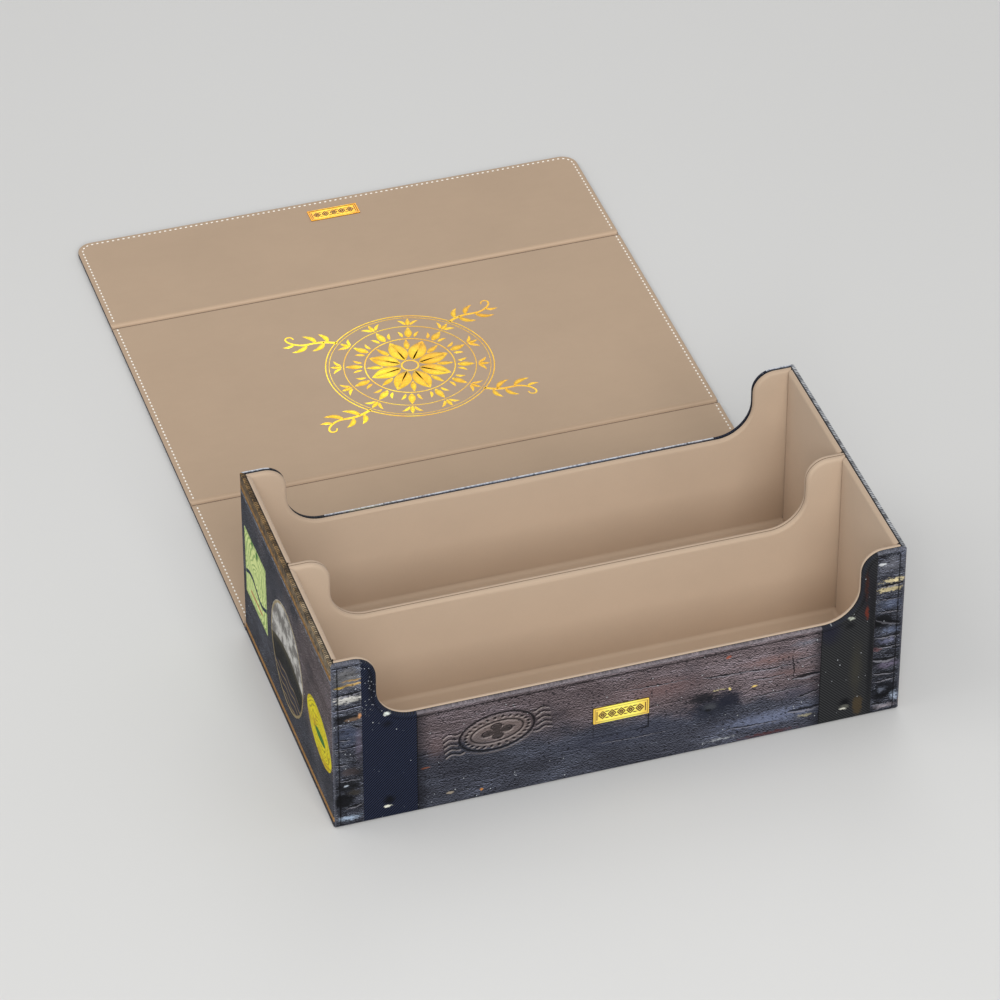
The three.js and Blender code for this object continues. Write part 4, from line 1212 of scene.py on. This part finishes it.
fine = runs((-100.9, -90, 3.5), (-90, -32.5, 0.36), (-32.5, -15, 2.5), (-15, -13, 0.3),
            (-13, 13, 2.6), (13, 15, 0.3), (15, 100.9, 4))
rows = runs((0.8, 20, 2.4), (20, 50, 0.4), (50, FRONT_RIM - 5, 1.0))
shares = (rows - 0.8) / (rows[-1] - 0.8)
few = runs((0, 1, 0.05))
front_top = scooped_top(fine[1:-1], ends, RIM_DRAWN, FRONT_RIM)
back_top = scooped_top(coarse, ends, RIM_DRAWN, BACK_RIM)
front_sheet = leather_wall(front_top, HALF_LENGTH, 0.2, shares, front_press)
back_sheet = leather_wall(back_top, HALF_LENGTH, 0.9, few, border_line)
make_piece("front_wall_leather", [wall_patch(front_sheet, "front", 0)], (0, -HALF_DEPTH + 1.2, 30),
           "tray", PRINT_FRONT, ["front_cover"])
make_piece("back_wall_leather", [wall_patch(back_sheet, "back", 2)], (0, HALF_DEPTH - 1.2, 30),
           "tray", PRINT_BACK, ["back_cover"])
depth_steps = runs(
    (-76.5, -75.3, 0.2), (-75.3, -72, 0.8), (-72, 72, 4), (72, 75.3, 0.8), (75.3, 76.5, 0.2))
for side, number, finish in (("left", 3, PRINT_LEFT), ("right", 1, PRINT_RIGHT)):
    sheet = wall_patch(leather_wall(straight_top(depth_steps), HALF_DEPTH, 0.2, few), side, number)
    inside = (-HALF_LENGTH + 1.2 if side == "left" else HALF_LENGTH - 1.2, 0, 30)
    make_piece(f"{side}_wall_leather", [sheet], inside, "tray", finish,
               [f"{side}_cover"])

# %% [markdown]
# The tan linings are panels of thin board wrapped in microfibre, so every free edge is
# softly round. A panel's face is laid out on the same columns as its wall. Near any edge
# the face falls away on a quarter circle of the distance to that edge, and the sheet then
# runs over the top and down to the seam.

# %% Linings of the walls and the divider
def rounded(distance, radius):
    """How far a face falls at a distance from its edge: a quarter circle, then level."""
    inner = np.clip(radius - distance, 0, radius)
    return radius - np.sqrt(radius ** 2 - inner ** 2)


def lining_sheet(top, half, thick, rows_up):
    """Along, thickness, height and rim mark of a lining: its face, its round edge, its flat
    top and the small round beside the seam. The face rises and sinks a tenth of a
    millimetre, as padded cloth does."""
    points, inward, feet = top
    radius, seam = LINING_ROUND, LINING_SEAM
    sine, cosine = quarter(8)
    tight, loose = quarter(4)
    inset = np.concatenate(
        [[LINING_DRAWN, 2.4], radius * (1 - sine), [0.0], seam * (1 - loose), [1.8]])
    deep = np.concatenate([[thick] * 2, thick - radius * (1 - cosine),
                           [0.5 * (thick - radius) + 0.15], seam * (1 - tight), [0.0]])
    ring = points[None] + inset[:, None, None] * inward[None]
    base = np.column_stack([feet, np.full(len(feet), LINING_FOOT)])
    face = base[None] + rows_up[:, None, None] * (ring[:1] - base[None])
    spot = np.concatenate([face[:-1], ring])
    deep = np.concatenate([np.full(len(rows_up) - 1, thick), deep])
    deep = np.broadcast_to(deep[:, None], spot.shape[:2])
    x, z = spot[..., 0], spot[..., 1]
    fall = rounded(half - np.abs(x), radius)
    swell = np.sin(x / 17 + z / 23) + np.sin(x / 31 - z / 13)
    soft = 0.06 * swell * np.clip((half - np.abs(x)) / 12, 0, 1)
    inner = (deep > thick - 0.01)
    drawn_in = np.concatenate([np.full(len(rows_up) - 1, 9.0), inset])[:, None]
    rim = np.clip(1 - drawn_in / radius, 0, 1) * (deep > 0.4) * np.ones_like(x)
    soft = soft * inner * np.clip((HEIGHT - z) / 20, 0, 1)
    return x, np.minimum(deep, thick - fall) + soft, z, rim


lining_ends = runs((130, 136.9, 1.4), (136.9, INNER_HALF, 0.2))[1:]
lining_level = runs((-100.9, 100.9, 4))[1:-1]
rows_up = runs((0, 1, 0.045))
for name, node, base, way, thick, level in (
        ("front_wall_suede", "front_lining", LINING_BACK - HALF_DEPTH, 1, LINING, FRONT_RIM),
        ("back_wall_suede", "back_lining", HALF_DEPTH - LINING_BACK, -1, LINING, BACK_RIM),
        ("divider_front_suede", "divider_front_lining", -0.05, -1, DIVIDER_LINING, DIVIDER_RIM),
        ("divider_rear_suede", "divider_rear_lining", 0.05, 1, DIVIDER_LINING, DIVIDER_RIM)):
    top = scooped_top(lining_level, lining_ends, LINING_DRAWN, level)
    x, deep, z, rim = lining_sheet(top, INNER_HALF, thick, rows_up)
    divides = name.startswith("divider")
    # Painted shade where a divider lining rolls down into the seam between the two.
    seam = np.clip(1.15 - deep / 0.3, 0, 1) * divides
    points = np.stack([x, base + way * deep, z], axis=-1)
    sheet = patch(points, rim=rim * (0.7 if divides else 1.0), edge=seam)
    make_piece(name, [sheet], (0, base + way * 1.2, 30), "tray", SUEDE_LIGHTENED_INSIDE, [node])

bay = runs((-BAY_HALF, -32.9, 0.2), (-32.9, 32.9, 3.3), (32.9, BAY_HALF, 0.2))
for side, way in (("left", 1), ("right", -1)):
    for room, middle in (("front", -BAY_MIDDLE), ("rear", BAY_MIDDLE)):
        along, deep, z, rim = lining_sheet(straight_top(bay), BAY_HALF, LINING, rows_up)
        points = np.stack([-way * INNER_HALF + way * deep, middle + along, z], axis=-1)
        make_piece(f"{side}_{room}_end_suede", [patch(points, rim=rim)], (-way * 137.4, middle, 30),
                   "tray", SUEDE_LIGHTENED_INSIDE, [f"{side}_{room}_end_lining"])

# %% [markdown]
# Flat padded things, such as the floor pads, the cover's panels and the clasp plates, all
# share one recipe: a closed outline, rings drawn in from it, and a line down the middle
# that the last ring closes on. Skirt rows give the edge its profile, and a height function
# of x and y shapes the face.

# %% Outlines and domed faces
EDGE_STEPS = (0, 0.3, 0.6, 1.0, 1.5, 1.9, 2.05, 2.4, 2.75, 2.9, 3.4)


def box_outline(x0, x1, y0, y1, pitch, near=EDGE_STEPS, corner=0.0, far_only=False):
    """A closed rectangle, anticlockwise, as points and the directions that lead in.

    Corners are mitred, or quarter circles of the given radius, all four or the far two.
    """
    def side(length, start, stop):
        steps = np.array(near) if start == 0 else np.array([0.0])
        tail = length - (np.array(near) if stop == 0 else np.array([0.0]))
        even = np.arange(start + pitch, length - stop - pitch / 2, pitch)
        found = np.concatenate([steps + start, tail - stop, even])
        return np.unique(np.round(np.clip(found, start, length - stop), 4))

    round_near, round_far = (0.0 if far_only else corner), corner
    corners = [((x0, y0), (1, 1), round_near), ((x1, y0), (-1, 1), round_near),
               ((x1, y1), (-1, -1), round_far), ((x0, y1), (1, -1), round_far)]
    points, inward = [], []
    for k, ((x, y), (a, b), radius) in enumerate(corners):
        (next_x, next_y), _, next_radius = corners[(k + 1) % 4]
        if radius > 0:
            turn = np.linspace(0, np.pi / 2, 13) + (k + 2) * np.pi / 2
            spokes = np.column_stack([np.cos(turn), np.sin(turn)])
            points.append(np.array([x + a * radius, y + b * radius]) + radius * spokes)
            inward.append(-spokes)
        else:
            points.append(np.array([[x, y]], float))
            inward.append(np.array([[a, b]], float))
        length = abs(next_x - x) + abs(next_y - y)
        way = np.array([next_x - x, next_y - y]) / length
        steps = side(length, radius, next_radius)
        steps = steps[(steps > radius + 1e-3) & (steps < length - next_radius - 1e-3)]
        points.append(np.array([x, y]) + steps[:, None] * way)
        inward.append(np.tile([-way[1], way[0]], (len(steps), 1)))
    return np.concatenate(points), np.concatenate(inward)


def domed(outline, skirt, rings, height, shares=(0.08, 0.22, 0.42, 0.66, 0.88, 1.0), free=None):
    """Points of a padded face: skirt rows of (inset, height), rings drawn in from the
    outline at the height the function gives, and shares of the way to the middle line.
    free scales the skirt's insets at each point of the outline."""
    points, inward = outline
    free = np.ones(len(points)) if free is None else free
    low, high = points.min(axis=0), points.max(axis=0)
    half = (high - low) / 2
    middle = (high + low) / 2
    reach = np.maximum(half - half.min(), 0)
    edge = [np.column_stack([points + inset * free[:, None] * inward, np.full(len(points), z)])
            for inset, z in skirt]
    flats = [np.clip(points + inset * inward, low + inset, high - inset) for inset in rings]
    last = flats[-1]
    spine = middle + np.clip(last - middle, -reach, reach)
    flats += [last + share * (spine - last) for share in shares]
    return np.stack(edge + [np.column_stack([flat, height(*flat.T)]) for flat in flats])


for room, node, y0, y1 in (
        ("front", "front_floor_pad", -PAD_FAR, -PAD_NEAR),
        ("rear", "rear_floor_pad", PAD_NEAR, PAD_FAR)):
    def pad_top(x, y, y0=y0, y1=y1):
        """Level, and rising on a quarter circle where the pad is pushed up against the walls."""
        edge = np.minimum(PAD_HALF - np.abs(x), np.minimum(y - y0, y1 - y))
        return PAD_TOP + 0.85 * rounded(edge, PAD_ROUND)

    points = domed(box_outline(-PAD_HALF, PAD_HALF, y0, y1, 4), [(0.0, 3.3), (0.0, 3.7)],
                   (0, 0.03, 0.12, 0.3, 0.55, 0.85, 1.2, 1.6, 2.0, 2.4, 4, 8), pad_top)
    make_piece(f"{room}_floor_suede", [patch(points, closed=True)], (0, (y0 + y1) / 2, 4), "tray",
               SUEDE_LIGHTENED_INSIDE, [node])

# %% [markdown]
# The cover lies flat and open. Each of its three panels is a tray of navy leather, a board
# and a tan lining that folds down the sides of the creases at 45 degrees, so that the
# panels can meet in a mitre when the box is shut. The leather turns up round the free
# edges, and it is pressed in along its seam on the outside.

# %% Panels of the cover
def panel_edges(first, last, is_flap):
    """Distances from the free edges and from the creases of a panel."""
    def free(x, y):
        side = HALF_LENGTH - np.abs(x)
        if not is_flap:
            return side
        dx, dy = FLAP_ROUND - side, y - (last - FLAP_ROUND)
        inside = np.minimum(side, last - y)
        return np.where((dx > 0) & (dy > 0), FLAP_ROUND - np.hypot(dx, dy), inside)

    def crease(y):
        return np.minimum(y - first, (last - y) if not is_flap else 99.0)
    return free, crease


def soft_least(a, b, width=0.35):
    """The smaller of two heights, with the corner between them rounded."""
    share = np.clip(0.5 + 0.5 * (b - a) / width, 0, 1)
    return b + (a - b) * share - width * share * (1 - share)


COVER_RINGS = (0, 0.02, 0.08, 0.18, 0.32, 0.46, 0.6, 0.9, 1.3, 1.6, 1.8, 2.0, 2.4, 3.2, 5.0)
for name, first, last in (
        ("back_panel", FOLDS[0] + 0.5, FOLDS[1] - 0.5),
        ("top_panel", FOLDS[1] + 0.5, FOLDS[2] - 0.5), ("flap", FOLDS[2] + 0.5, FLAP_END)):
    is_flap = name == "flap"
    free, crease = panel_edges(first, last, is_flap)
    outline = box_outline(-HALF_LENGTH, HALF_LENGTH, first, last, 4,
                          corner=FLAP_ROUND if is_flap else 0.0, far_only=True)
    on_crease = (crease(outline[0][:, 1]) < 1e-6)
    mask = np.where(on_crease, 0.0, 1.0)

    def lining_top_height(x, y):
        """Level, round at the free edges, and sloping down to each crease."""
        level = LID_TOP - rounded(free(x, y), 0.6) - 0.05 * np.exp(-np.maximum(free(x, y), 0) / 3)
        swell = 0.05 * (np.sin(x / 29 + y / 17) - 1) * np.clip(free(x, y) / 10, 0, 1)
        return soft_least(level + swell, SKIN_TOP + np.maximum(crease(y), 0))

    points = domed(outline, [(0.22, 1.8), (0.0, 1.98)], COVER_RINGS, lining_top_height, free=mask)
    points[:2, :, 2] = np.minimum(points[:2, :, 2], SKIN_TOP + crease(points[:2, :, 1]))
    # The press mark here is a painted highlight along the shoulders of each crease.
    shoulder = 1.1 * np.exp(-((crease(points[..., 1]) - 0.95) / 0.45) ** 2)
    make_piece(f"{name}_suede", [patch(points, closed=True, press=shoulder)],
               (0, (first + last) / 2, 1.5), name, SUEDE, [f"{name}_lining"])

    def cover_under(x, y):
        """The outside, level but for its round edge and the channel its seam lies in."""
        channel = 0.2 * groove(np.maximum(np.abs(free(x, y) - SEAM_INSET) - 0.25, 0), 0.12)
        return rounded(free(x, y), 0.5) + channel + rounded(crease(y), 0.18)

    skirt = [(0.6, 1.88), (0.25, 1.88), (0.06, 1.8), (0.0, 1.6), (0.0, 1.05), (0.0, 0.55)]
    points = domed(outline, skirt, COVER_RINGS[1:], cover_under, free=mask)
    rows = len(skirt)
    points[:rows, :, 2] = np.minimum(
        points[:rows, :, 2], SKIN_TOP + np.maximum(crease(points[:rows, :, 1]), 0))
    x, y, z = points[..., 0], points[..., 1], points[..., 2]
    side = np.clip(z / 0.5, 0, 1) * np.ones_like(x)
    rub = groove(z - 1.75, 0.25) + 0.7 * groove(z - 0.2, 0.2) * (free(x, y) < 0.6)
    sunk = np.clip(cover_under(x, y) * 5, 0, 1) * (z < 0.3) * (free(x, y) > 1)
    marks = {"rim": side, "edge": np.clip(rub, 0, 1), "press": sunk}
    place = place_mark(x, y, 4)
    make_piece(f"{name}_leather", [patch(points, closed=True, place=place, **marks)],
               (0, (first + last) / 2, 1.2),
               name, COVER, [f"{name}_cover"])

# %% [markdown]
# A crease is one strip of skin with the lining folded down onto it, laid along the fold
# between two bodies.

# %% Creases
def crease_strip(fold, floor, top, across):
    """A flat strip with round edges: half of it is the top, half the underside."""
    steps = np.linspace(-0.5, 0.5, 9)
    up_side = np.column_stack([steps, top - 0.06 * (2 * steps) ** 4])
    down_side = np.column_stack([steps[::-1], floor + 0.06 * (2 * steps[::-1]) ** 4])
    profile = np.concatenate([up_side, down_side])
    points = np.zeros((len(across), len(profile), 3))
    points[..., 0] = across[:, None]
    points[..., 1] = fold + profile[:, 0]
    points[..., 2] = profile[:, 1]
    return points


across = runs((-141, 141, 3))
bodies = ("tray", "back_panel", "top_panel", "flap")
for fold, a, b, node in zip(
        FOLDS, bodies, bodies[1:], ("base_back_crease", "back_top_crease", "top_flap_crease")):
    for layer, floor_z, top_z, finish, slot_name, nodes in (
            ("skin", 0.02, 0.55, COVER, "cover_leather", [node]),
            ("lining", 0.55, 0.8, SUEDE_SHADED_FOLD, "tan_lining", [])):
        points = crease_strip(fold, floor_z, top_z, across)
        place = place_mark(points[..., 0], points[..., 1], 4)
        # On the lining strip, the darker cloth and its rim mark of 0.4 are painted shade in the
        # fold.
        strip = make_piece(f"{node}_{layer}", [patch(points, closed=True, place=place, rim=0.4)],
                           (0, fold, (floor_z + top_z) / 2), None, finish, nodes)
        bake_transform(strip)

# %% [markdown]
# Small raised work, such as foil lines, leaves and the pattern on the clasp plates, is
# made of ribbons: a flat strip carried along a curve, with a width that may change on
# the way. A closed curve gives a ring, and a width that swells and closes gives a leaf.

# %% Ribbons
def ribbon(curve, half_width, low, high, closed=False, taper=0.85):
    """Four rows along a curve: foot, shoulder, shoulder, foot.

    The way across is the curve's direction turned a quarter. The shoulders are taper
    times as far out as the feet, and stand at height high.
    """
    curve = np.asarray(curve, float)
    if closed:
        along = np.roll(curve, -1, axis=0) - np.roll(curve, 1, axis=0)
    else:
        along = np.gradient(curve, axis=0)
    along = along / np.maximum(np.hypot(along[:, 0], along[:, 1]), 1e-9)[:, None]
    reach = np.broadcast_to(half_width, len(curve))[:, None]
    across = np.column_stack([-along[:, 1], along[:, 0]]) * reach
    rows = [(1.0, low), (taper, high), (-taper, high), (-1.0, low)]
    return np.stack(
        [np.column_stack([curve + out * across, np.full(len(curve), z)]) for out, z in rows])


def leaf(start, end, width, bow=0.0, steps=13, low=0.0, high=0.05):
    """A leaf from start to end whose half width swells as a sine and whose spine bows."""
    t = np.linspace(0, 1, steps)[:, None]
    start, end = np.asarray(start, float), np.asarray(end, float)
    way = end - start
    side = np.array([-way[1], way[0]])
    curve = start + t * way + bow * np.sin(np.pi * t) * side
    half = width * np.sin(np.pi * t[:, 0] ** 0.8) + 0.02
    return ribbon(curve, half, low, high)


def arc(radius, start, stop, steps, centre=(0, 0)):
    """Points on part of a circle, between two angles in degrees."""
    angle = np.radians(np.linspace(start, stop, steps))
    return np.asarray(centre) + radius * np.column_stack([np.cos(angle), np.sin(angle)])

# %% [markdown]
# The medallion inside the cover is a thin gold foil, pressed on. Its design is a plain
# traditional one: a leaf rosette, solid in the middle and open toward its double ring,
# with a sprig at each corner. The foil is brighter toward the left and duller at the right.

# %% Foil medallion
SPRIG_STEM = [(30.5, 30.5), (36, 33.5), (42, 34.5), (48, 33.5), (53, 36), (56.5, 40),
              (55.5, 43.5), (52, 43), (51.6, 40.4)]
SPRIG_LEAVES = [
    ((35, 33), (38, 41), 1.5, 0.15), ((41, 34.4), (46.5, 41.5), 1.5, 0.15),
    ((37, 33.6), (45, 27.6), 1.6, -0.15), ((46, 33.8), (55.5, 29.5), 1.6, -0.15),
    ((52.5, 36), (59, 35), 1.0, -0.12),
]


def medallion():
    """Ribbons of the medallion, about its own centre."""
    made, stem = [], np.array(SPRIG_STEM)
    for radius, half in ((44.0, 0.32), (42.2, 0.16), (34.6, 0.24), (23.6, 0.34), (4.4, 0.5)):
        steps = int(radius * 2.4) + 24
        made.append((ribbon(arc(radius, 0, 360, steps + 1)[:-1], half, 0, 0.05, closed=True), True))
    for k in range(12):
        turn = math.radians(30 * k + 15)
        way = np.array([math.cos(turn), math.sin(turn)])
        side = np.array([-way[1], way[0]])
        made.append((leaf(24.6 * way, 33.8 * way, 2.1), False))
        made.append((leaf(35.4 * way, 41.6 * way, 1.35), False))
        for sign in (-1, 1):
            for near, far, across, bow in ((35.7, 39.8, 1.2, 0.12), (24.9, 29.8, 3.2, 0.1)):
                start, end = near * way + sign * across * side, far * way + sign * 5.6 * side
                made.append((leaf(start, end, 0.9, bow=-sign * bow), False))
    for k in range(16):
        turn = math.radians(22.5 * k + 11.25)
        way = np.array([math.cos(turn), math.sin(turn)])
        if k % 2:
            made.append((leaf(14.0 * way, 22.9 * way, 1.7), False))
            continue
        for sign in (-1, 1):
            made.append((leaf(5.2 * way, 22.4 * way, 2.75, bow=sign * 0.125), False))
    for a, b in ((1, 1), (-1, 1), (-1, -1), (1, -1)):
        flip = np.array([a, b])
        t = np.linspace(0, len(stem) - 1, 41)
        smooth = np.column_stack([np.interp(t, range(len(stem)), stem[:, i]) for i in (0, 1)])
        for _ in range(12):
            smooth[1:-1] = 0.5 * smooth[1:-1] + 0.25 * (smooth[:-2] + smooth[2:])
        made.append((ribbon(smooth * flip, np.linspace(0.9, 0.35, 41), 0, 0.05), False))
        for start, end, width, bow in SPRIG_LEAVES:
            start, end = np.array(start) * flip, np.array(end) * flip
            made.append((leaf(start, end, width, bow=bow * a * b), False))
    return made


foil = []
for points, closed in medallion():
    placed = points + [*MEDALLION, 0.0]
    placed[..., 2] = np.where(points[..., 2] > 0, LID_TOP + 0.03, LID_TOP - 0.15)
    foil.append(patch(placed, closed=closed))
make_piece("foil_medallion", foil, (0, 257, -500), "top_panel", FOIL, weld=False)

# %% [markdown]
# The two clasp plates are stamped brass: a bevelled edge, a raised border and, in its sunk
# field, a row of lozenges filled with dark enamel. Their sides and the step inside the border
# are painted dark as well, as painted shade.

# %% Clasp plates
def plate_parts():
    """A bevelled plate 27.6 by 9.3 lying on its back, with its raised pattern."""
    outline = box_outline(
        -PLATE_HALF, PLATE_HALF, -PLATE_RISE, PLATE_RISE, 1.6, near=(0, 0.4, 0.9), corner=0.5)
    border = 0.45
    def face(x, y):
        """A raised border one wide round a sunk field."""
        edge = np.minimum(PLATE_HALF - np.abs(x), PLATE_RISE - np.abs(y))
        return border - rounded(edge, 0.22) - 0.2 * np.clip((edge - 0.75) / 0.2, 0, 1)

    rings = (0, 0.02, 0.06, 0.13, 0.22, 0.45, 0.75, 0.85, 0.95, 1.3)
    base = domed(outline, [(0.0, -0.35), (0.0, 0.0)], rings, face, (0.3, 0.7, 1.0))
    parts = [(base, True)]
    for k in range(-2, 3):
        centre = np.array([4.6 * k, 0.0])
        for size, half in ((1.9, 0.36), (0.75, 0.4)):
            corner = np.array([[1, 0], [0, 1.12], [-1, 0], [0, -1.12]]) * size
            sides = zip(corner, np.roll(corner, -1, axis=0))
            ring = np.concatenate([a + np.linspace(0, 1, 5)[:-1, None] * (b - a) for a, b in sides])
            parts.append((ribbon(centre + ring, half, 0.2, 0.3, closed=True), True))
        if k < 2:
            for y in (-1.9, 1.9):
                start, end = centre + [1.0, y], centre + [3.6, y]
                parts.append((leaf(start, end, 0.34, low=0.2, high=0.3, steps=9), False))
    for x in (-12.0, 12.0):
        upright = np.column_stack([np.full(7, x), np.linspace(-2.6, 2.6, 7)])
        parts.append((ribbon(upright, 0.26, 0.2, 0.3), False))
    return parts


plate = plate_parts()
for name, node, body, place_it in (
        ("front_plate", "front_clasp_plate", "tray",
         lambda p: np.stack([p[..., 0], -HALF_DEPTH - p[..., 2], PLATE_ON_FRONT + p[..., 1]], -1)),
        ("flap_plate", "flap_clasp_plate", "flap",
         lambda p: np.stack([p[..., 0], PLATE_ON_FLAP + p[..., 1], LID_TOP + p[..., 2]], -1))):
    sheets = []
    for number, (points, closed) in enumerate(plate):
        edge = np.minimum(PLATE_HALF - np.abs(points[..., 0]), PLATE_RISE - np.abs(points[..., 1]))
        step_line = groove(edge - 0.85, 0.16) + np.clip((0.2 - points[..., 2]) / 0.2, 0, 1)
        # On the plate, its sides and the step inside its border are painted dark, as painted shade;
        # on the pattern the dark is enamel.
        shade = 0.75 * np.clip(step_line, 0, 1) if number == 0 else np.full_like(edge, 1.0)
        sheets.append(patch(place_it(points), closed=closed, press=shade))
    inside = place_it(np.array([0.0, 0.0, -60.0]))
    make_piece(name, sheets, inside, body, GILT[name], [node])

# %% [markdown]
# The seam round the cover is sewn with a pale thread. One stitch is a small rounded bar of
# thirty faces, and every other is the same bar set further along the seam, tilted where the
# lining dips into a crease. A second row lies in the channel on the outside. Over each
# crease one stitch is left out.

# %% Stitches
def stitch_shape():
    """A bar 1.3 long: six rings of six points whose radius closes at both ends."""
    along = np.array([-0.65, -0.57, -0.3, 0.3, 0.57, 0.65])
    radius = np.array([0.0, 0.75, 1.0, 1.0, 0.75, 0.0])
    angle = np.arange(6) * np.pi / 3
    ring = np.stack([np.cos(angle) * 0.42, np.sin(angle) * 0.27], axis=-1)
    points = np.zeros((6, 6, 3))
    points[..., 0] = along[:, None]
    points[..., 1:] = ring[None] * radius[:, None, None]
    return points


def seam_path(inset):
    """The seam's line: up the left side, round the two far corners and down the right."""
    side, far, bend = HALF_LENGTH - inset, FLAP_END - inset, FLAP_ROUND - inset
    left = arc(bend, 180, 90, 12, (-side + bend, far - bend))
    start, end = np.array([[-side, FOLDS[0] + 1.2]]), np.array([[side, FOLDS[0] + 1.2]])
    return np.concatenate([start, left, left[::-1] * [-1, 1], end])


def spaced(path, pitch):
    """The back and front end of each stitch at an even pitch along a line."""
    run = np.concatenate([[0], np.cumsum(np.hypot(*np.diff(path, axis=0).T))])
    count = int(run[-1] // pitch)
    middle = (np.arange(count) + 0.5) * run[-1] / count
    ahead_of, behind = middle + STITCH_LENGTH / 2, middle - STITCH_LENGTH / 2
    a = np.column_stack([np.interp(behind, run, path[:, i]) for i in (0, 1)])
    b = np.column_stack([np.interp(ahead_of, run, path[:, i]) for i in (0, 1)])
    return a, b


def seam_height(y):
    """Height of the lining along the seam. At a crease it dips, and a stitch is pulled in."""
    fold = np.min([np.abs(y - f) for f in FOLDS], axis=0)
    level = soft_least(np.full_like(y, LID_TOP), SKIN_TOP + np.maximum(fold - 0.5, 0))
    return level - 0.2 * np.clip((LID_TOP - level) / 0.5, 0, 1)


shape = stitch_shape()
face = turned_out(shape.reshape(-1, 3), cells(6, 6, True), (0, 0, 0))
for outside in (False, True):
    a, b = spaced(seam_path(SEAM_INSET), STITCH_PITCH)
    height = (lambda y: np.full_like(y, 0.165)) if outside else (lambda y: seam_height(y) + 0.02)
    a = np.column_stack([a, height(a[:, 1])])
    b = np.column_stack([b, height(b[:, 1])])
    middle, way = (a + b) / 2, b - a
    length = np.linalg.norm(way, axis=1, keepdims=True)
    way = way / length
    flat = np.cross([0.0, 0.0, 1.0], way)
    flat = flat / np.linalg.norm(flat, axis=1, keepdims=True)
    lift = np.cross(way, flat)
    middles, ways, flats, lifts, lengths = (
        each[:, None, None] for each in (middle, way, flat, lift, length))
    whole = (middles + shape[None, ..., :1] * ways * lengths / STITCH_LENGTH
             + shape[None, ..., 1:2] * flats
             + shape[None, ..., 2:] * lifts * (0.7 if outside else 1.0))
    near_fold = np.min([np.abs(middle[:, 1] - f) for f in FOLDS], axis=0) < 1.3
    for body, first, last in (("back_panel", FOLDS[0], FOLDS[1]), ("top_panel", FOLDS[1], FOLDS[2]),
                              ("flap", FOLDS[2], 999.0)):
        chosen = whole[(middle[:, 1] > first) & (middle[:, 1] < last) & ~near_fold]
        faces = (face[None] + 36 * np.arange(len(chosen))[:, None, None]).reshape(-1, 4)
        name = f"{body}_{'outer' if outside else 'inner'}_stitches"
        place_piece(make_mesh(name, chosen.reshape(-1, 3), faces, {}), body, THREAD)
        print(len(chosen), "stitches")

# %% [markdown]
# A pale floor, a soft sky and three broad lamps: plain studio light, at a level at which
# a painted colour comes out about as it was written.

# %% Floor and light
floor_mesh = bpy.data.meshes.new("floor")
floor_mesh.from_pydata(
    [(-6, -6, -0.0004), (6, -6, -0.0004), (6, 6, -0.0004), (-6, 6, -0.0004)], [], [(0, 1, 2, 3)])
floor = new_object("floor", floor_mesh)
material, bench, shader = new_finish("pale_floor", Roughness=0.6)
place = bench.object_place()
dress(bench, shader, bench.mix(bench.noise(place, 0.6, 2.0), "cfcfce", "d6d6d5"))
floor_mesh.materials.append(material)


def lamp(name, place, target, size, power, colour):
    """A broad square lamp that looks at its target."""
    light = bpy.data.lights.new(name, "AREA")
    light.size, light.energy, light.color = size, power, colour
    made = new_object(name, light)
    made.location = place
    made.rotation_euler = (Vector(target) - Vector(place)).to_track_quat("-Z", "Y").to_euler()


lamp("window", (-1.5, 0.3, 1.9), (0, 0.1, 0), 1.4, 10, (1.0, 0.98, 0.95))
lamp("front", (-0.35, -2.35, 1.75), (0, 0, 0.05), 1.6, 60, (1.0, 1.0, 1.0))
lamp("behind", (0.9, 2.6, 2.1), (0, 0.1, 0.05), 1.6, 8, (1.0, 1.0, 1.0))
world = bpy.data.worlds.new("soft_sky")
bpy.context.scene.world = world
world.use_nodes = True
sky = world.node_tree.nodes["Background"]
sky.inputs["Color"].default_value = (1.0, 1.0, 1.0, 1.0)
bench = Bench(world.node_tree)
ray = bench.node("ShaderNodeLightPath").outputs
seen = bench.calc("MAXIMUM", ray["Is Camera Ray"], ray["Is Glossy Ray"])
world.node_tree.links.new(bench.plus(0.5, bench.times(seen, 0.5)), sky.inputs["Strength"])
bpy.context.scene.view_settings.view_transform = "Standard"
